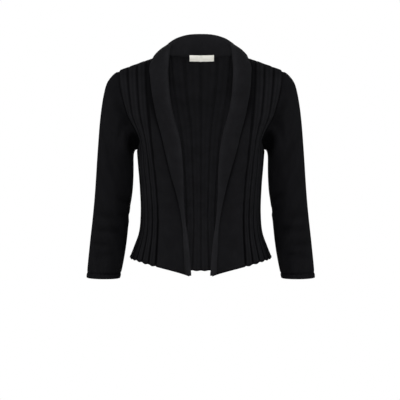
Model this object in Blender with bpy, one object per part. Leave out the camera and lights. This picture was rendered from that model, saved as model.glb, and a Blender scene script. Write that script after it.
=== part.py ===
"""Cropped, open-fronted cardigan with a rolled shawl collar, filled out as when it is worn.

+Z is up and the wearer faces -Y, so the wearer's left is +X. The origin is at the middle of
the neck base, where the wearer's neck and shoulders hold the garment up.
Sizes are in millimetres. Each mesh is turned into metres as it is made.
"""
import math
from bisect import bisect_right
from collections import namedtuple

import bmesh
import bpy
from mathutils import Vector

METRES_PER_MM = 0.001

# Cloth
SEAM_GAP = 0.3
PANEL_WALL = 2.6
GROOVE_DEPTH = 1.2
COLLAR_WALL = 2.6
SLEEVE_WALL = 2.0
LABEL_WALL = 0.8

# Ribs: each one is flat topped, and this share of its width falls away into the groove
RIB_FLANK = 0.17
FRONT_RIBS_ABOVE = 3
FRONT_RIBS_BELOW = 3
BACK_RIBS_ABOVE = 7
BACK_RIBS_BELOW = 4
BACK_RIBS_ON_NECK = 3
PLAIN_STEPS = 4

# Shoulder seam and back neck
NECK_POINT = Vector((80.0, 6.0, 8.0))
SHOULDER_TIP = Vector((193.0, 6.0, -31.3))
SHOULDER_SAG = 1.08
FRONT_RIBS_START_X = 127.0
BACK_NECK = Vector((0.0, 55.0, 3.0))

# How the chest and the shoulder blades round over towards the shoulder seam
TOP_SHARES = (0.24, 0.46, 0.66, 0.82, 0.93, 1.0)
SHOULDER_ROUNDNESS = 1.6
NECK_ROUNDNESS = 1.15
SHOULDER_SPREAD = 1.5

# A row of a panel seen from above leaves the middle square to it and meets the side seam head on
LEAN_PER_MM = 0.12
ROW_FULLNESS = 1.1
CURVE_STEPS = 60

# Mesh making
MERGE_METRES = 1e-7
CREASE_DEGREES = 50.0

# Rows of a panel from the hem up. `steps` is the number of mesh rows to the next one, `inner`
# is the edge beside the opening or the middle of the back, `corner` is where the armhole begins,
# `outer` is the side seam or, from the chest up, the armhole, and `last_rib` is the width of the
# rib beside the armhole against its neighbours. Heights run from `inner` to `corner` by the power
# `inner_bend` of the way, and from `side` back to `corner` by the power `side_bend`.
Row = namedtuple(
    "Row",
    "name steps inner_x inner_depth inner_z corner_z side_z inner_bend side_bend plain_x "
    "outer_x outer_depth turn corner_share last_rib",
)

FRONT_ROWS = (
    Row("hem", 2, 27.0, 104, -507, -474, -468, 0.82, 0.7, 103.0, 166.0, 0, 90, 0.50, 1.00),
    Row("peplum", 1, 30.3, 101, -463, -446, -441, 0.75, 0.9, 101.0, 155.0, 0, 90, 0.50, 1.00),
    Row("high hip", 2, 34.0, 99, -429, -420, -417, 1.0, 1.0, 99.5, 146.0, 0, 90, 0.50, 1.00),
    Row("waist", 2, 41.8, 98, -376, -368, -365, 1.0, 2.0, 98.5, 140.5, 0, 90, 0.50, 1.00),
    Row("rib cage", 2, 48.0, 104, -316, -309, -305, 1.0, 2.0, 101.5, 142.5, 0, 90, 0.50, 0.90),
    Row("under bust", 2, 59.0, 110, -262, -254, -256, 1.0, 2.0, 107.0, 146.5, 0, 90, 0.49, 0.75),
    Row("armhole", 3, 67.0, 110, -206, -200, -218, 1.0, 2.0, 113.0, 149.5, 0, 90, 0.48, 0.50),
    Row("chest", 0, 81.0, 93, -125, -133, -133, 1.0, 2.0, 120.0, 172.5, 48, 48, 1.00, 0.75),
)

BACK_ROWS = (
    Row("hem", 2, 0.0, 106, -511, -489, -468, 2.0, 1.2, 0.0, 166.0, 0, 90, 0.636, 1.00),
    Row("peplum", 1, 0.0, 100, -468, -452, -441, 2.0, 1.2, 0.0, 155.0, 0, 90, 0.636, 1.00),
    Row("high hip", 2, 0.0, 95, -433, -425, -417, 2.0, 1.2, 0.0, 146.0, 0, 90, 0.636, 1.00),
    Row("waist", 2, 0.0, 88, -378, -372, -365, 2.0, 2.0, 0.0, 140.5, 0, 90, 0.636, 1.00),
    Row("rib cage", 2, 0.0, 92, -318, -311, -305, 2.0, 2.0, 0.0, 142.5, 0, 90, 0.66, 1.00),
    Row("under bust", 2, 0.0, 99, -264, -256, -256, 2.0, 2.0, 0.0, 146.5, 0, 90, 0.70, 1.00),
    Row("armhole", 3, 0.0, 104, -210, -190, -218, 2.0, 2.0, 0.0, 149.5, 0, 90, 0.75, 1.00),
    Row("blades", 0, 0.0, 103, -140, -133, -133, 1.0, 2.0, 0.0, 172.0, 50, 52, 1.00, 1.00),
)

# The collar beside the opening, by the height of its seam. `stand` runs from the seam to the
# roll and `rise` is its slope off the chest in degrees. The fall comes back over the panel to
# `reach` past the seam, at `lift` above it, and bows out by `bow`.
LapelRow = namedtuple("LapelRow", "seam_z stand rise reach lift roll bow")

LAPEL_ROWS = (
    LapelRow(-507.0, 5.5, 0.0, 9.5, 5.4, 2.7, 0.0),
    LapelRow(-452.0, 5.0, 0.0, 7.0, 5.4, 2.7, 0.0),
    LapelRow(-376.0, 5.5, 0.0, 1.5, 5.4, 2.7, 0.0),
    LapelRow(-316.0, 7.8, 0.0, 7.0, 5.6, 2.8, 0.3),
    LapelRow(-262.0, 18.0, 0.0, 10.5, 6.0, 3.0, 1.0),
    LapelRow(-206.0, 20.8, 2.0, 16.7, 6.5, 3.2, 2.0),
    LapelRow(-158.0, 19.5, 8.0, 19.4, 6.5, 3.4, 2.5),
    LapelRow(-125.0, 16.0, 20.0, 23.0, 6.5, 3.5, 3.0),
    LapelRow(-96.0, 13.0, 38.0, 29.3, 6.5, 3.5, 3.5),
    LapelRow(-45.0, 16.5, 65.0, 36.0, 6.0, 3.5, 3.5),
    LapelRow(-20.0, 18.5, 64.0, 38.0, 5.2, 3.5, 3.0),
    LapelRow(8.0, 21.0, 60.0, 29.0, 4.0, 3.5, 2.0),
)

# The collar behind the neck, from the neck point (share 0) to the middle of the back (share 1)
# and a row past it, which keeps the collar square to the middle
NeckRow = namedtuple("NeckRow", "share crest edge")

NECK_ROWS = (
    NeckRow(0.33, Vector((67.5, 25.0, 37.8)), Vector((99.0, 34.0, -4.0))),
    NeckRow(0.60, Vector((52.0, 46.0, 49.6)), Vector((76.0, 56.0, -10.0))),
    NeckRow(0.80, Vector((29.0, 57.5, 57.4)), Vector((42.0, 65.5, -9.5))),
    NeckRow(1.00, Vector((0.0, 61.0, 59.3)), Vector((0.0, 68.5, -8.0))),
    NeckRow(1.20, Vector((-29.0, 57.5, 57.4)), Vector((-42.0, 65.5, -9.5))),
)
STAND_STEPS = 2
ROLL_STEPS = 4
FALL_STEPS = 3

# Rings of a sleeve from the armhole down. `keep` is the share of the armhole's own form left.
SleeveRow = namedtuple("SleeveRow", "outer_x outer_z inner_x inner_z mid_y half_depth keep")

SLEEVE_ROWS = (
    SleeveRow(201.5, -34.4, 153.0, -218.5, 0.0, 55.5, 0.90),
    SleeveRow(212.4, -46.0, 155.5, -221.0, -0.5, 56.5, 0.65),
    SleeveRow(221.6, -62.0, 157.0, -225.0, -1.0, 57.0, 0.40),
    SleeveRow(228.0, -88.0, 157.5, -231.0, -1.5, 57.0, 0.20),
    SleeveRow(233.0, -120.0, 157.5, -240.0, -2.0, 56.5, 0.08),
    SleeveRow(237.1, -158.0, 157.5, -252.0, -2.5, 55.0, 0.0),
    SleeveRow(240.3, -200.0, 157.5, -268.0, -3.0, 53.5, 0.0),
    SleeveRow(243.2, -243.0, 158.0, -288.0, -4.0, 52.5, 0.0),
    SleeveRow(245.6, -284.0, 159.5, -313.0, -5.5, 51.5, 0.0),
    SleeveRow(248.0, -322.0, 163.0, -341.0, -8.0, 50.5, 0.0),
    SleeveRow(250.8, -358.0, 166.8, -371.0, -12.0, 49.5, 0.0),
    SleeveRow(254.0, -392.0, 169.6, -401.0, -16.0, 48.5, 0.0),
    SleeveRow(257.3, -424.0, 172.6, -431.0, -20.0, 47.5, 0.0),
    SleeveRow(260.2, -455.0, 176.6, -460.0, -24.0, 46.0, 0.0),
    SleeveRow(262.9, -485.0, 181.8, -489.0, -28.0, 44.5, 0.0),
    SleeveRow(264.6, -501.0, 185.4, -504.0, -30.5, 43.4, 0.0),
    SleeveRow(265.7, -503.0, 184.4, -506.0, -31.0, 44.4, 0.0),
    SleeveRow(264.9, -515.0, 188.2, -516.5, -32.5, 43.6, 0.0),
)

# Soft troughs in a sleeve: the ring they cross, the angle round it from the outside of the arm
# towards the front, their depth, and their half spread along and round the sleeve.
Fold = namedtuple("Fold", "ring angle depth rings degrees")

SLEEVE_FOLDS = (
    Fold(4.5, 138.0, 5.0, 2.2, 22.0),
    Fold(4.5, 222.0, 4.0, 2.2, 24.0),
    Fold(10.0, 150.0, 3.0, 1.2, 40.0),
    Fold(12.3, 60.0, 2.2, 1.0, 45.0),
)

# Neck label, sewn over the seam inside the back neck, a little towards the wearer's left
LABEL_WIDTH = 60.0
LABEL_ABOVE = Vector((0.0, 0.2, 6.5))
LABEL_BELOW = Vector((0.0, 2.6, -8.3))
LABEL_SHIFT = 2.5

KNIT_BLACK = (0.012, 0.012, 0.014, 1.0)
LABEL_WHITE = (0.80, 0.79, 0.74, 1.0)


def slope(knots, values, index):
    """Slope of a smooth curve through the values, at one of its knots."""
    last = len(knots) - 1
    before = max(index - 1, 0)
    after = min(index + 1, last)
    if before == index or after == index:
        return (values[after] - values[before]) / (knots[after] - knots[before])
    gap_before = knots[index] - knots[before]
    gap_after = knots[after] - knots[index]
    slope_before = (values[index] - values[before]) / gap_before
    slope_after = (values[after] - values[index]) / gap_after
    return (slope_before * gap_after + slope_after * gap_before) / (gap_before + gap_after)


def spline(knots, values, at):
    """Value at a place on a smooth curve through numbers or vectors at rising knots."""
    index = min(max(bisect_right(knots, at) - 1, 0), len(knots) - 2)
    span = knots[index + 1] - knots[index]
    s = (at - knots[index]) / span
    start_slope = slope(knots, values, index) * span
    end_slope = slope(knots, values, index + 1) * span
    rise = values[index + 1] - values[index]
    return values[index] + (
        start_slope * s
        + (rise * 3.0 - start_slope * 2.0 - end_slope) * s**2
        + (start_slope + end_slope - rise * 2.0) * s**3
    )


class PlanCurve:
    """A row of a panel seen from above, measured along its length."""

    def __init__(self, row, facing):
        lean = math.radians(row.inner_x * LEAN_PER_MM)
        turn = math.radians(row.turn)
        start = Vector((row.inner_x, facing * row.inner_depth))
        end = Vector((row.outer_x, facing * row.outer_depth))
        swing = turn - lean
        handle = 4.0 / 3.0 * math.tan(swing / 4.0) / (2.0 * math.sin(swing / 2.0))
        handle *= (end - start).length * ROW_FULLNESS
        after_start = start + Vector((math.cos(lean), -facing * math.sin(lean))) * handle
        before_end = end - Vector((math.cos(turn), -facing * math.sin(turn))) * handle
        self.points = []
        for step in range(CURVE_STEPS + 1):
            s = step / CURVE_STEPS
            self.points.append(
                start * (1.0 - s) ** 3
                + after_start * 3.0 * s * (1.0 - s) ** 2
                + before_end * 3.0 * s**2 * (1.0 - s)
                + end * s**3
            )
        self.lengths = [0.0]
        for before, after in zip(self.points, self.points[1:]):
            self.lengths.append(self.lengths[-1] + (after - before).length)

    def at(self, length):
        """Point at a length along the curve."""
        index = min(max(bisect_right(self.lengths, length) - 1, 0), CURVE_STEPS - 1)
        span = self.lengths[index + 1] - self.lengths[index]
        return self.points[index].lerp(self.points[index + 1], (length - self.lengths[index]) / span)

    def length_to(self, x):
        """Length along the curve to where it reaches x."""
        for index, (before, after) in enumerate(zip(self.points, self.points[1:])):
            if after.x >= x:
                share = (x - before.x) / (after.x - before.x)
                return self.lengths[index] + share * (self.lengths[index + 1] - self.lengths[index])
        return self.lengths[-1]


def rib_places(start, widths):
    """Places of each rib's groove and its two shoulders, without the last groove."""
    places = []
    for width in widths:
        places += [start, start + width * RIB_FLANK, start + width * (1.0 - RIB_FLANK)]
        start += width
    return places


def plain_places(start, end, steps):
    """Evenly spaced places from start up to, but not at, end."""
    return [start + (end - start) * step / steps for step in range(steps)]


class Panel:
    """A ribbed panel as a grid of points, columns along the ribs and rows from the hem up.

    A key is (column, row). Columns past the corner column stop at the armhole row.
    """

    def __init__(self, rows, facing, plain_steps, ribs_above, ribs_below):
        self.facing = facing
        self.plain_steps = plain_steps
        self.ribs_above = ribs_above
        self.ribs_below = ribs_below
        self.neck_column = 0 if plain_steps else 3 * BACK_RIBS_ON_NECK
        self.corner = plain_steps + 3 * ribs_above
        self.side = self.corner + 3 * ribs_below
        self.knots = [0]
        for row in rows[:-1]:
            self.knots.append(self.knots[-1] + row.steps)
        self.arm_row = self.knots[-2]
        self.chest_row = self.knots[-1]
        self.top_row = self.chest_row + len(TOP_SHARES)
        self.skin = {}
        self.fill(rows)

    def row_points(self, row):
        """Points of one table row, a point for each column that it has."""
        curve = PlanCurve(row, self.facing)
        total = curve.lengths[-1]
        ribs_start = curve.length_to(row.plain_x) if self.plain_steps else 0.0
        corner = ribs_start + (total - ribs_start) * row.corner_share
        if not self.plain_steps:
            corner = total * row.corner_share
        unit = (corner - ribs_start) / (self.ribs_above - 1 + row.last_rib)
        places = plain_places(0.0, ribs_start, self.plain_steps)
        places += rib_places(ribs_start, [unit] * (self.ribs_above - 1) + [unit * row.last_rib])
        places.append(corner)
        has_side = row.corner_share < 1.0
        if has_side:
            rib_below = (total - corner) / self.ribs_below
            places += rib_places(corner, [rib_below] * self.ribs_below)[1:]
            places.append(total)
        points = []
        for place in places:
            flat = curve.at(min(place, total))
            if place <= corner:
                way = (place / corner) ** row.inner_bend
                z = row.inner_z + (row.corner_z - row.inner_z) * way
            else:
                way = ((total - place) / (total - corner)) ** row.side_bend
                z = row.side_z + (row.corner_z - row.side_z) * way
            points.append(Vector((flat.x, flat.y, z)))
        return points

    def top_points(self):
        """Points of the top edge, along the back neck if it has one and the shoulder seam."""
        seam = SHOULDER_TIP - NECK_POINT
        if self.plain_steps:
            ribs_start = (FRONT_RIBS_START_X - NECK_POINT.x) / seam.x
            unit = (1.0 - ribs_start) / self.ribs_above
            places = plain_places(0.0, ribs_start, self.plain_steps)
            places += rib_places(ribs_start, [unit] * self.ribs_above)
            points = []
        else:
            ribs_left = self.ribs_above - BACK_RIBS_ON_NECK
            places = rib_places(0.0, [1.0 / ribs_left] * ribs_left)
            points = []
            for share in rib_places(0.0, [1.0 / BACK_RIBS_ON_NECK] * BACK_RIBS_ON_NECK):
                angle = share * math.pi / 2.0
                points.append(Vector((
                    NECK_POINT.x * math.sin(angle),
                    NECK_POINT.y + (BACK_NECK.y - NECK_POINT.y) * math.cos(angle),
                    BACK_NECK.z + (NECK_POINT.z - BACK_NECK.z) * (1.0 - math.cos(angle)),
                )))
        for share in places + [1.0]:
            points.append(Vector((
                NECK_POINT.x + seam.x * share,
                NECK_POINT.y + self.facing * SEAM_GAP / 2.0,
                NECK_POINT.z + seam.z * share**SHOULDER_SAG,
            )))
        return points

    def over_the_top(self, chest, top, share):
        """Point on the way from the chest row to the top edge, rounding over."""
        towards_neck = (top.y - NECK_POINT.y) / (BACK_NECK.y - NECK_POINT.y)
        towards_neck = min(max(towards_neck, 0.0), 1.0)
        roundness = SHOULDER_ROUNDNESS + (NECK_ROUNDNESS - SHOULDER_ROUNDNESS) * towards_neck
        out = (1.0 - share**roundness) ** (1.0 / roundness)
        across = 1.0 - (1.0 - share) ** SHOULDER_SPREAD
        return Vector((
            chest.x + (top.x - chest.x) * across,
            top.y + (chest.y - top.y) * out,
            chest.z + (top.z - chest.z) * share,
        ))

    def fill(self, rows):
        """Work out the grid's points from the table rows and the top edge."""
        table = [self.row_points(row) for row in rows]
        top = self.top_points()
        first_round = [
            self.over_the_top(chest, edge, TOP_SHARES[0]) for chest, edge in zip(table[-1], top)
        ]
        for column in range(self.side + 1):
            above = column <= self.corner
            keys = table if above else table[:-1]
            knots = self.knots if above else self.knots[:-1]
            values = [points[column] for points in keys]
            if above:
                values.append(first_round[column])
                knots = knots + [self.chest_row + 1]
            for row in range((self.chest_row if above else self.arm_row) + 1):
                point = spline(knots, values, row)
                if column == self.side:
                    point.y = self.facing * SEAM_GAP / 2.0
                self.skin[column, row] = point
            if above:
                for step, share in enumerate(TOP_SHARES):
                    key = column, self.chest_row + 1 + step
                    self.skin[key] = self.over_the_top(table[-1][column], top[column], share)

    def is_groove(self, column, row):
        """Whether a grid point lies in a groove between two ribs."""
        in_ribs = column >= self.plain_steps and (column - self.plain_steps) % 3 == 0
        at_edge = column in (0, self.side) or (column == self.corner and row >= self.arm_row)
        at_scoop = column >= self.corner and row == self.arm_row
        return in_ribs and not at_edge and not at_scoop


def mirrored_columns(panel):
    """Give a half panel its other half, with columns numbered from the middle both ways."""
    for (column, row), point in list(panel.skin.items()):
        panel.skin[-column, row] = Vector((-point.x, point.y, point.z))


def difference(points, key, step):
    """Difference across a grid point along one grid direction, one-sided at an edge."""
    before = (key[0] - step[0], key[1] - step[1])
    after = (key[0] + step[0], key[1] + step[1])
    return points.get(after, points[key]) - points.get(before, points[key])


def grid_normals(points, outside):
    """Unit normals of a grid, turned to the side that `outside` asks for."""
    normals = {}
    for key in points:
        across = difference(points, key, (1, 0))
        along = difference(points, key, (0, 1))
        normals[key] = across.cross(along).normalized() * outside
    return normals


class Wall:
    """Two facing grids of points: the garment's inside and its outside."""

    def __init__(self, inner, outer):
        self.inner = inner
        self.outer = outer

    def rim(self, before, key, after, inside):
        """The two points of the wall's edge at `key`, moved out of the wall by a seam's gap.

        `before` and `after` are its neighbours along the edge and `inside` is one off the edge.
        """
        edge = self.outer.get(after, self.outer[key]) - self.outer.get(before, self.outer[key])
        across = edge.cross(self.outer[key] - self.inner[key]).normalized()
        if across.dot(self.outer[key] - self.outer[inside]) < 0.0:
            across = -across
        return self.inner[key] + across * SEAM_GAP, self.outer[key] + across * SEAM_GAP

    def mirrored(self):
        """The same wall on the wearer's other side."""
        flip = Vector((-1.0, 1.0, 1.0))
        inner = {key: point * flip for key, point in self.inner.items()}
        outer = {key: point * flip for key, point in self.outer.items()}
        return Wall(inner, outer)


def panel_wall(panel, outside):
    """Raise a panel's ribs on its outside over a plain inside."""
    normals = grid_normals(panel.skin, outside)
    inner = {}
    outer = {}
    for key, point in panel.skin.items():
        column, row = key
        normal = normals[key]
        if abs(column) == panel.side:
            normal = Vector((normal.x, 0.0, normal.z)).normalized()
        beside_neck_point = abs(column) >= panel.neck_column - 1
        if row == panel.top_row and beside_neck_point:
            normal = Vector((normal.x, 0.0, normal.z)).normalized()
        depth = GROOVE_DEPTH if panel.is_groove(abs(column), row) else 0.0
        inner[key] = point - normal * PANEL_WALL
        outer[key] = point - normal * depth
    return Wall(inner, outer)


def clear_scene():
    """Remove whatever the scene holds."""
    for item in list(bpy.data.objects):
        bpy.data.objects.remove(item, do_unlink=True)


def make_material(name, colour, roughness):
    """A plain cloth finish."""
    material = bpy.data.materials.new(name)
    material.use_nodes = True
    shader = material.node_tree.nodes["Principled BSDF"]
    shader.inputs["Base Color"].default_value = colour
    shader.inputs["Roughness"].default_value = roughness
    shader.inputs["Metallic"].default_value = 0.0
    return material


def make_object(name, wall, material, closed=False):
    """Turn a wall into one closed mesh: a grid laid on its outside, extruded to its inside.

    A closed wall runs round a tube, and its last column meets its first.
    """
    columns = sorted({column for column, row in wall.outer})
    rows = sorted({row for column, row in wall.outer})
    wide = len(columns) + (1 if closed else 0)
    mesh = bmesh.new()
    bmesh.ops.create_grid(mesh, x_segments=wide - 1, y_segments=len(rows) - 1, size=0.5)
    key_of = {}
    for vertex in mesh.verts:
        column = round((vertex.co.x + 0.5) * (wide - 1)) % len(columns)
        row = round((vertex.co.y + 0.5) * (len(rows) - 1))
        key_of[vertex] = (columns[column], rows[row])
    missing = [vertex for vertex in mesh.verts if key_of[vertex] not in wall.outer]
    bmesh.ops.delete(mesh, geom=missing, context="VERTS")
    outside = list(mesh.verts)
    keys = [key_of[vertex] for vertex in outside]
    extruded = bmesh.ops.extrude_face_region(mesh, geom=list(mesh.faces), use_keep_orig=True)
    inside = [item for item in extruded["geom"] if isinstance(item, bmesh.types.BMVert)]
    place = {}
    for vertex, key in zip(outside, keys):
        place[vertex.co.to_tuple(6)] = key
    inner_keys = [place[vertex.co.to_tuple(6)] for vertex in inside]
    if closed:
        side = max(vertex.co.x for vertex in mesh.verts) - MERGE_METRES
        ends = [face for face in mesh.faces if all(abs(vertex.co.x) > side for vertex in face.verts)]
        bmesh.ops.delete(mesh, geom=ends, context="FACES")
    for vertex, key in zip(outside, keys):
        vertex.co = wall.outer[key] * METRES_PER_MM
    for vertex, key in zip(inside, inner_keys):
        vertex.co = wall.inner[key] * METRES_PER_MM
    if closed:
        bmesh.ops.remove_doubles(mesh, verts=mesh.verts, dist=MERGE_METRES)
    bmesh.ops.recalc_face_normals(mesh, faces=mesh.faces)
    if mesh.calc_volume(signed=True) < 0.0:
        bmesh.ops.reverse_faces(mesh, faces=mesh.faces)
    data = bpy.data.meshes.new(name)
    mesh.to_mesh(data)
    mesh.free()
    data.materials.append(material)
    data.shade_smooth()
    data.set_sharp_from_angle(angle=math.radians(CREASE_DEGREES))
    item = bpy.data.objects.new(name, data)
    bpy.context.collection.objects.link(item)
    return item


def collar_section(seam, crest, edge, roll, bow, away):
    """Middle line of the collar's wall: up the stand, round the roll and down the fall."""
    inwards = ((seam + edge) / 2.0 - crest).normalized()
    across = (away - inwards * away.dot(inwards)).normalized()
    centre = crest + inwards * roll
    stand_end = centre - across * roll
    fall_start = centre + across * roll
    points = [seam.lerp(stand_end, step / STAND_STEPS) for step in range(STAND_STEPS)]
    for step in range(ROLL_STEPS):
        angle = math.pi * step / ROLL_STEPS
        points.append(centre - across * (roll * math.cos(angle)) - inwards * (roll * math.sin(angle)))
    for step in range(FALL_STEPS + 1):
        share = step / FALL_STEPS
        points.append(fall_start.lerp(edge, share) + across * (bow * math.sin(math.pi * share)))
    return points


def along_row(panel, row, distance):
    """Point at a distance along a panel's row from its inner edge."""
    run = 0.0
    column = 0
    while run + (panel.skin[column + 1, row] - panel.skin[column, row]).length < distance:
        run += (panel.skin[column + 1, row] - panel.skin[column, row]).length
        column += 1
    length = (panel.skin[column + 1, row] - panel.skin[column, row]).length
    return panel.skin[column, row].lerp(panel.skin[column + 1, row], (distance - run) / length)


def collar_half(front, front_wall, front_normals, back, back_wall):
    """Stations of the collar from the hem on the wearer's left to the middle of the back.

    Each is the seam's two rim points, then the section's points.
    """
    heights = [row.seam_z for row in LAPEL_ROWS]
    stations = []
    for row in range(front.top_row + 1):
        height = min(max(front.skin[0, row].z, heights[0]), heights[-1])
        stand, rise, reach, lift, roll, bow = (
            spline(heights, [entry[field] for entry in LAPEL_ROWS], height) for field in range(1, 7)
        )
        towards = (front.skin[0, row] - front.skin[1, row]).normalized()
        normal = front_normals[0, row]
        rim = front_wall.rim((0, row - 1), (0, row), (0, row + 1), (1, row))
        if row == front.top_row:
            neck = back.neck_column
            top = back.top_row
            rim = back_wall.rim((neck - 1, top), (neck, top), (neck, top), (neck + 1, top))
        seam = (rim[0] + rim[1]) / 2.0
        slant = math.radians(rise)
        crest = seam + towards * (stand * math.cos(slant)) + normal * (stand * math.sin(slant) + roll)
        edge = along_row(front, row, reach) + normal * lift
        stations.append((rim, collar_section(seam, crest, edge, roll, bow, normal), crest, edge))
    neck_crest, neck_edge = stations[-1][2:]
    shares = [0.0] + [entry.share for entry in NECK_ROWS]
    crests = [neck_crest] + [entry.crest for entry in NECK_ROWS]
    edges = [neck_edge] + [entry.edge for entry in NECK_ROWS]
    roll = LAPEL_ROWS[-1].roll
    bow = LAPEL_ROWS[-1].bow
    top = back.top_row
    for column in range(back.neck_column - 1, -1, -1):
        share = 1.0 - math.asin(back.skin[column, top].x / NECK_POINT.x) / (math.pi / 2.0)
        rim = back_wall.rim((column - 1, top), (column, top), (column + 1, top), (column, top - 1))
        seam = (rim[0] + rim[1]) / 2.0
        crest = spline(shares, crests, share)
        edge = spline(shares, edges, share)
        away = (edge - seam) * Vector((1.0, 1.0, 0.0))
        stations.append((rim, collar_section(seam, crest, edge, roll, bow, away), crest, edge))
    return stations


def collar_wall(stations):
    """The whole collar's wall from the stations of its left half."""
    flip = Vector((-1.0, 1.0, 1.0))
    other_half = []
    for rim, section, crest, edge in reversed(stations[:-1]):
        flipped_rim = tuple(point * flip for point in rim)
        other_half.append((flipped_rim, [point * flip for point in section]))
    whole = [(rim, section) for rim, section, crest, edge in stations] + other_half
    middle = {}
    for row, (rim, section) in enumerate(whole):
        for column, point in enumerate(section):
            middle[column, row] = point
    normals = grid_normals(middle, 1.0)
    first_rim = whole[0][0]
    if normals[1, 0].dot(first_rim[1] - first_rim[0]) < 0.0:
        normals = {key: -normal for key, normal in normals.items()}
    inner = {}
    outer = {}
    for key, point in middle.items():
        inner[key] = point - normals[key] * (COLLAR_WALL / 2.0)
        outer[key] = point + normals[key] * (COLLAR_WALL / 2.0)
    for row, (rim, section) in enumerate(whole):
        inner[0, row], outer[0, row] = rim
    return Wall(inner, outer)


def halfway(one, other):
    """Rim halfway between two panels' rims where they meet at a seam."""
    return tuple((a + b) / 2.0 for a, b in zip(one, other))


def armhole_rim(panel, wall, column, row):
    """Rim at one grid point of the armhole's edge."""
    if row > panel.arm_row:
        return wall.rim((column, row - 1), (column, row), (column, row + 1), (column - 1, row))
    if column > panel.corner:
        return wall.rim((column - 1, row), (column, row), (column + 1, row), (column, row - 1))
    return wall.rim((column, row + 1), (column, row), (column + 1, row), (column - 1, row - 1))


def armhole_rims(front, front_wall, back, back_wall):
    """Rims round the left armhole from the shoulder tip, down the front and up the back."""
    rims = [halfway(
        armhole_rim(front, front_wall, front.corner, front.top_row),
        armhole_rim(back, back_wall, back.corner, back.top_row),
    )]
    for row in range(front.top_row - 1, front.arm_row - 1, -1):
        rims.append(armhole_rim(front, front_wall, front.corner, row))
    for column in range(front.corner + 3, front.side, 3):
        rims.append(armhole_rim(front, front_wall, column, front.arm_row))
    underarm_index = len(rims)
    rims.append(halfway(
        armhole_rim(front, front_wall, front.side, front.arm_row),
        armhole_rim(back, back_wall, back.side, back.arm_row),
    ))
    for column in range(back.side - 3, back.corner - 1, -3):
        rims.append(armhole_rim(back, back_wall, column, back.arm_row))
    for row in range(back.arm_row + 1, back.top_row):
        rims.append(armhole_rim(back, back_wall, back.corner, row))
    return rims, underarm_index


def ring_angles(rims, underarm_index):
    """Angle of each armhole point round the sleeve, half a turn at the underarm."""
    points = [rim[1] for rim in rims] + [rims[0][1]]
    lengths = [0.0]
    for before, after in zip(points, points[1:]):
        lengths.append(lengths[-1] + (after - before).length)
    half = lengths[underarm_index]
    angles = []
    for length in lengths[:-1]:
        if length <= half:
            angles.append(math.pi * length / half)
        else:
            angles.append(math.pi + math.pi * (length - half) / (lengths[-1] - half))
    return angles


def sleeve_point(row, angle):
    """Point of a plain oval ring through its outer and inner points."""
    outer = Vector((row.outer_x, row.mid_y, row.outer_z))
    inner = Vector((row.inner_x, row.mid_y, row.inner_z))
    middle = (outer + inner) / 2.0
    out = (outer - inner) / 2.0 * math.cos(angle)
    return middle + out - Vector((0.0, row.half_depth * math.sin(angle), 0.0))


def fold_depth(ring, angle):
    """Depth of the sleeve's troughs at a ring and an angle."""
    depth = 0.0
    for fold in SLEEVE_FOLDS:
        along = (ring - fold.ring) / fold.rings
        around = (math.degrees(angle) - fold.angle) / fold.degrees
        depth += fold.depth * math.exp(-(along**2) - around**2)
    return depth


def sleeve_wall(rims, underarm_index):
    """The left sleeve's wall, from the armhole's own form to plain oval rings."""
    angles = ring_angles(rims, underarm_index)
    armhole = SleeveRow(
        SHOULDER_TIP.x, SHOULDER_TIP.z, rims[underarm_index][1].x, rims[underarm_index][1].z,
        0.0, SLEEVE_ROWS[0].half_depth, 1.0,
    )
    skin = {}
    for column, angle in enumerate(angles):
        own_form = rims[column][1] - sleeve_point(armhole, angle)
        skin[column, 0] = rims[column][1]
        for ring, row in enumerate(SLEEVE_ROWS, start=1):
            skin[column, ring] = sleeve_point(row, angle) + own_form * row.keep
    count = len(angles)
    wrapped = dict(skin)
    for ring in range(len(SLEEVE_ROWS) + 1):
        wrapped[-1, ring] = skin[count - 1, ring]
        wrapped[count, ring] = skin[0, ring]
    normals = grid_normals(wrapped, 1.0)
    inner = {}
    outer = {}
    for (column, ring), point in skin.items():
        if ring == 0:
            inner[column, 0], outer[column, 0] = rims[column]
            continue
        normal = normals[column, ring]
        pressed = point - normal * fold_depth(ring, angles[column])
        outer[column, ring] = pressed
        inner[column, ring] = pressed - normal * SLEEVE_WALL
    return Wall(inner, outer)


def label_wall(back, back_wall):
    """The neck label over the seam inside the back neck, its outside towards the wearer."""
    groove_shoulder = back_wall.inner[1, back.top_row]
    next_shoulder = back_wall.inner[2, back.top_row]
    ends = []
    for end_x in (LABEL_WIDTH / 2.0 - LABEL_SHIFT, LABEL_WIDTH / 2.0 + LABEL_SHIFT):
        end_share = (end_x - groove_shoulder.x) / (next_shoulder.x - groove_shoulder.x)
        ends.append(groove_shoulder.lerp(next_shoulder, end_share))
    flip = Vector((-1.0, 1.0, 1.0))
    seams = [ends[0] * flip, groove_shoulder * flip, back_wall.inner[0, back.top_row]]
    seams += [groove_shoulder, ends[1]]
    inner = {}
    outer = {}
    for column, seam in enumerate(seams):
        towards_wearer = Vector((-seam.x / NECK_POINT.x, -1.0, 0.0)).normalized()
        for row, offset in enumerate((LABEL_BELOW, Vector((0.0, 0.0, 0.0)), LABEL_ABOVE)):
            near = seam + offset + towards_wearer * SEAM_GAP
            inner[column, row] = near
            outer[column, row] = near + towards_wearer * LABEL_WALL
    return Wall(inner, outer)


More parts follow.
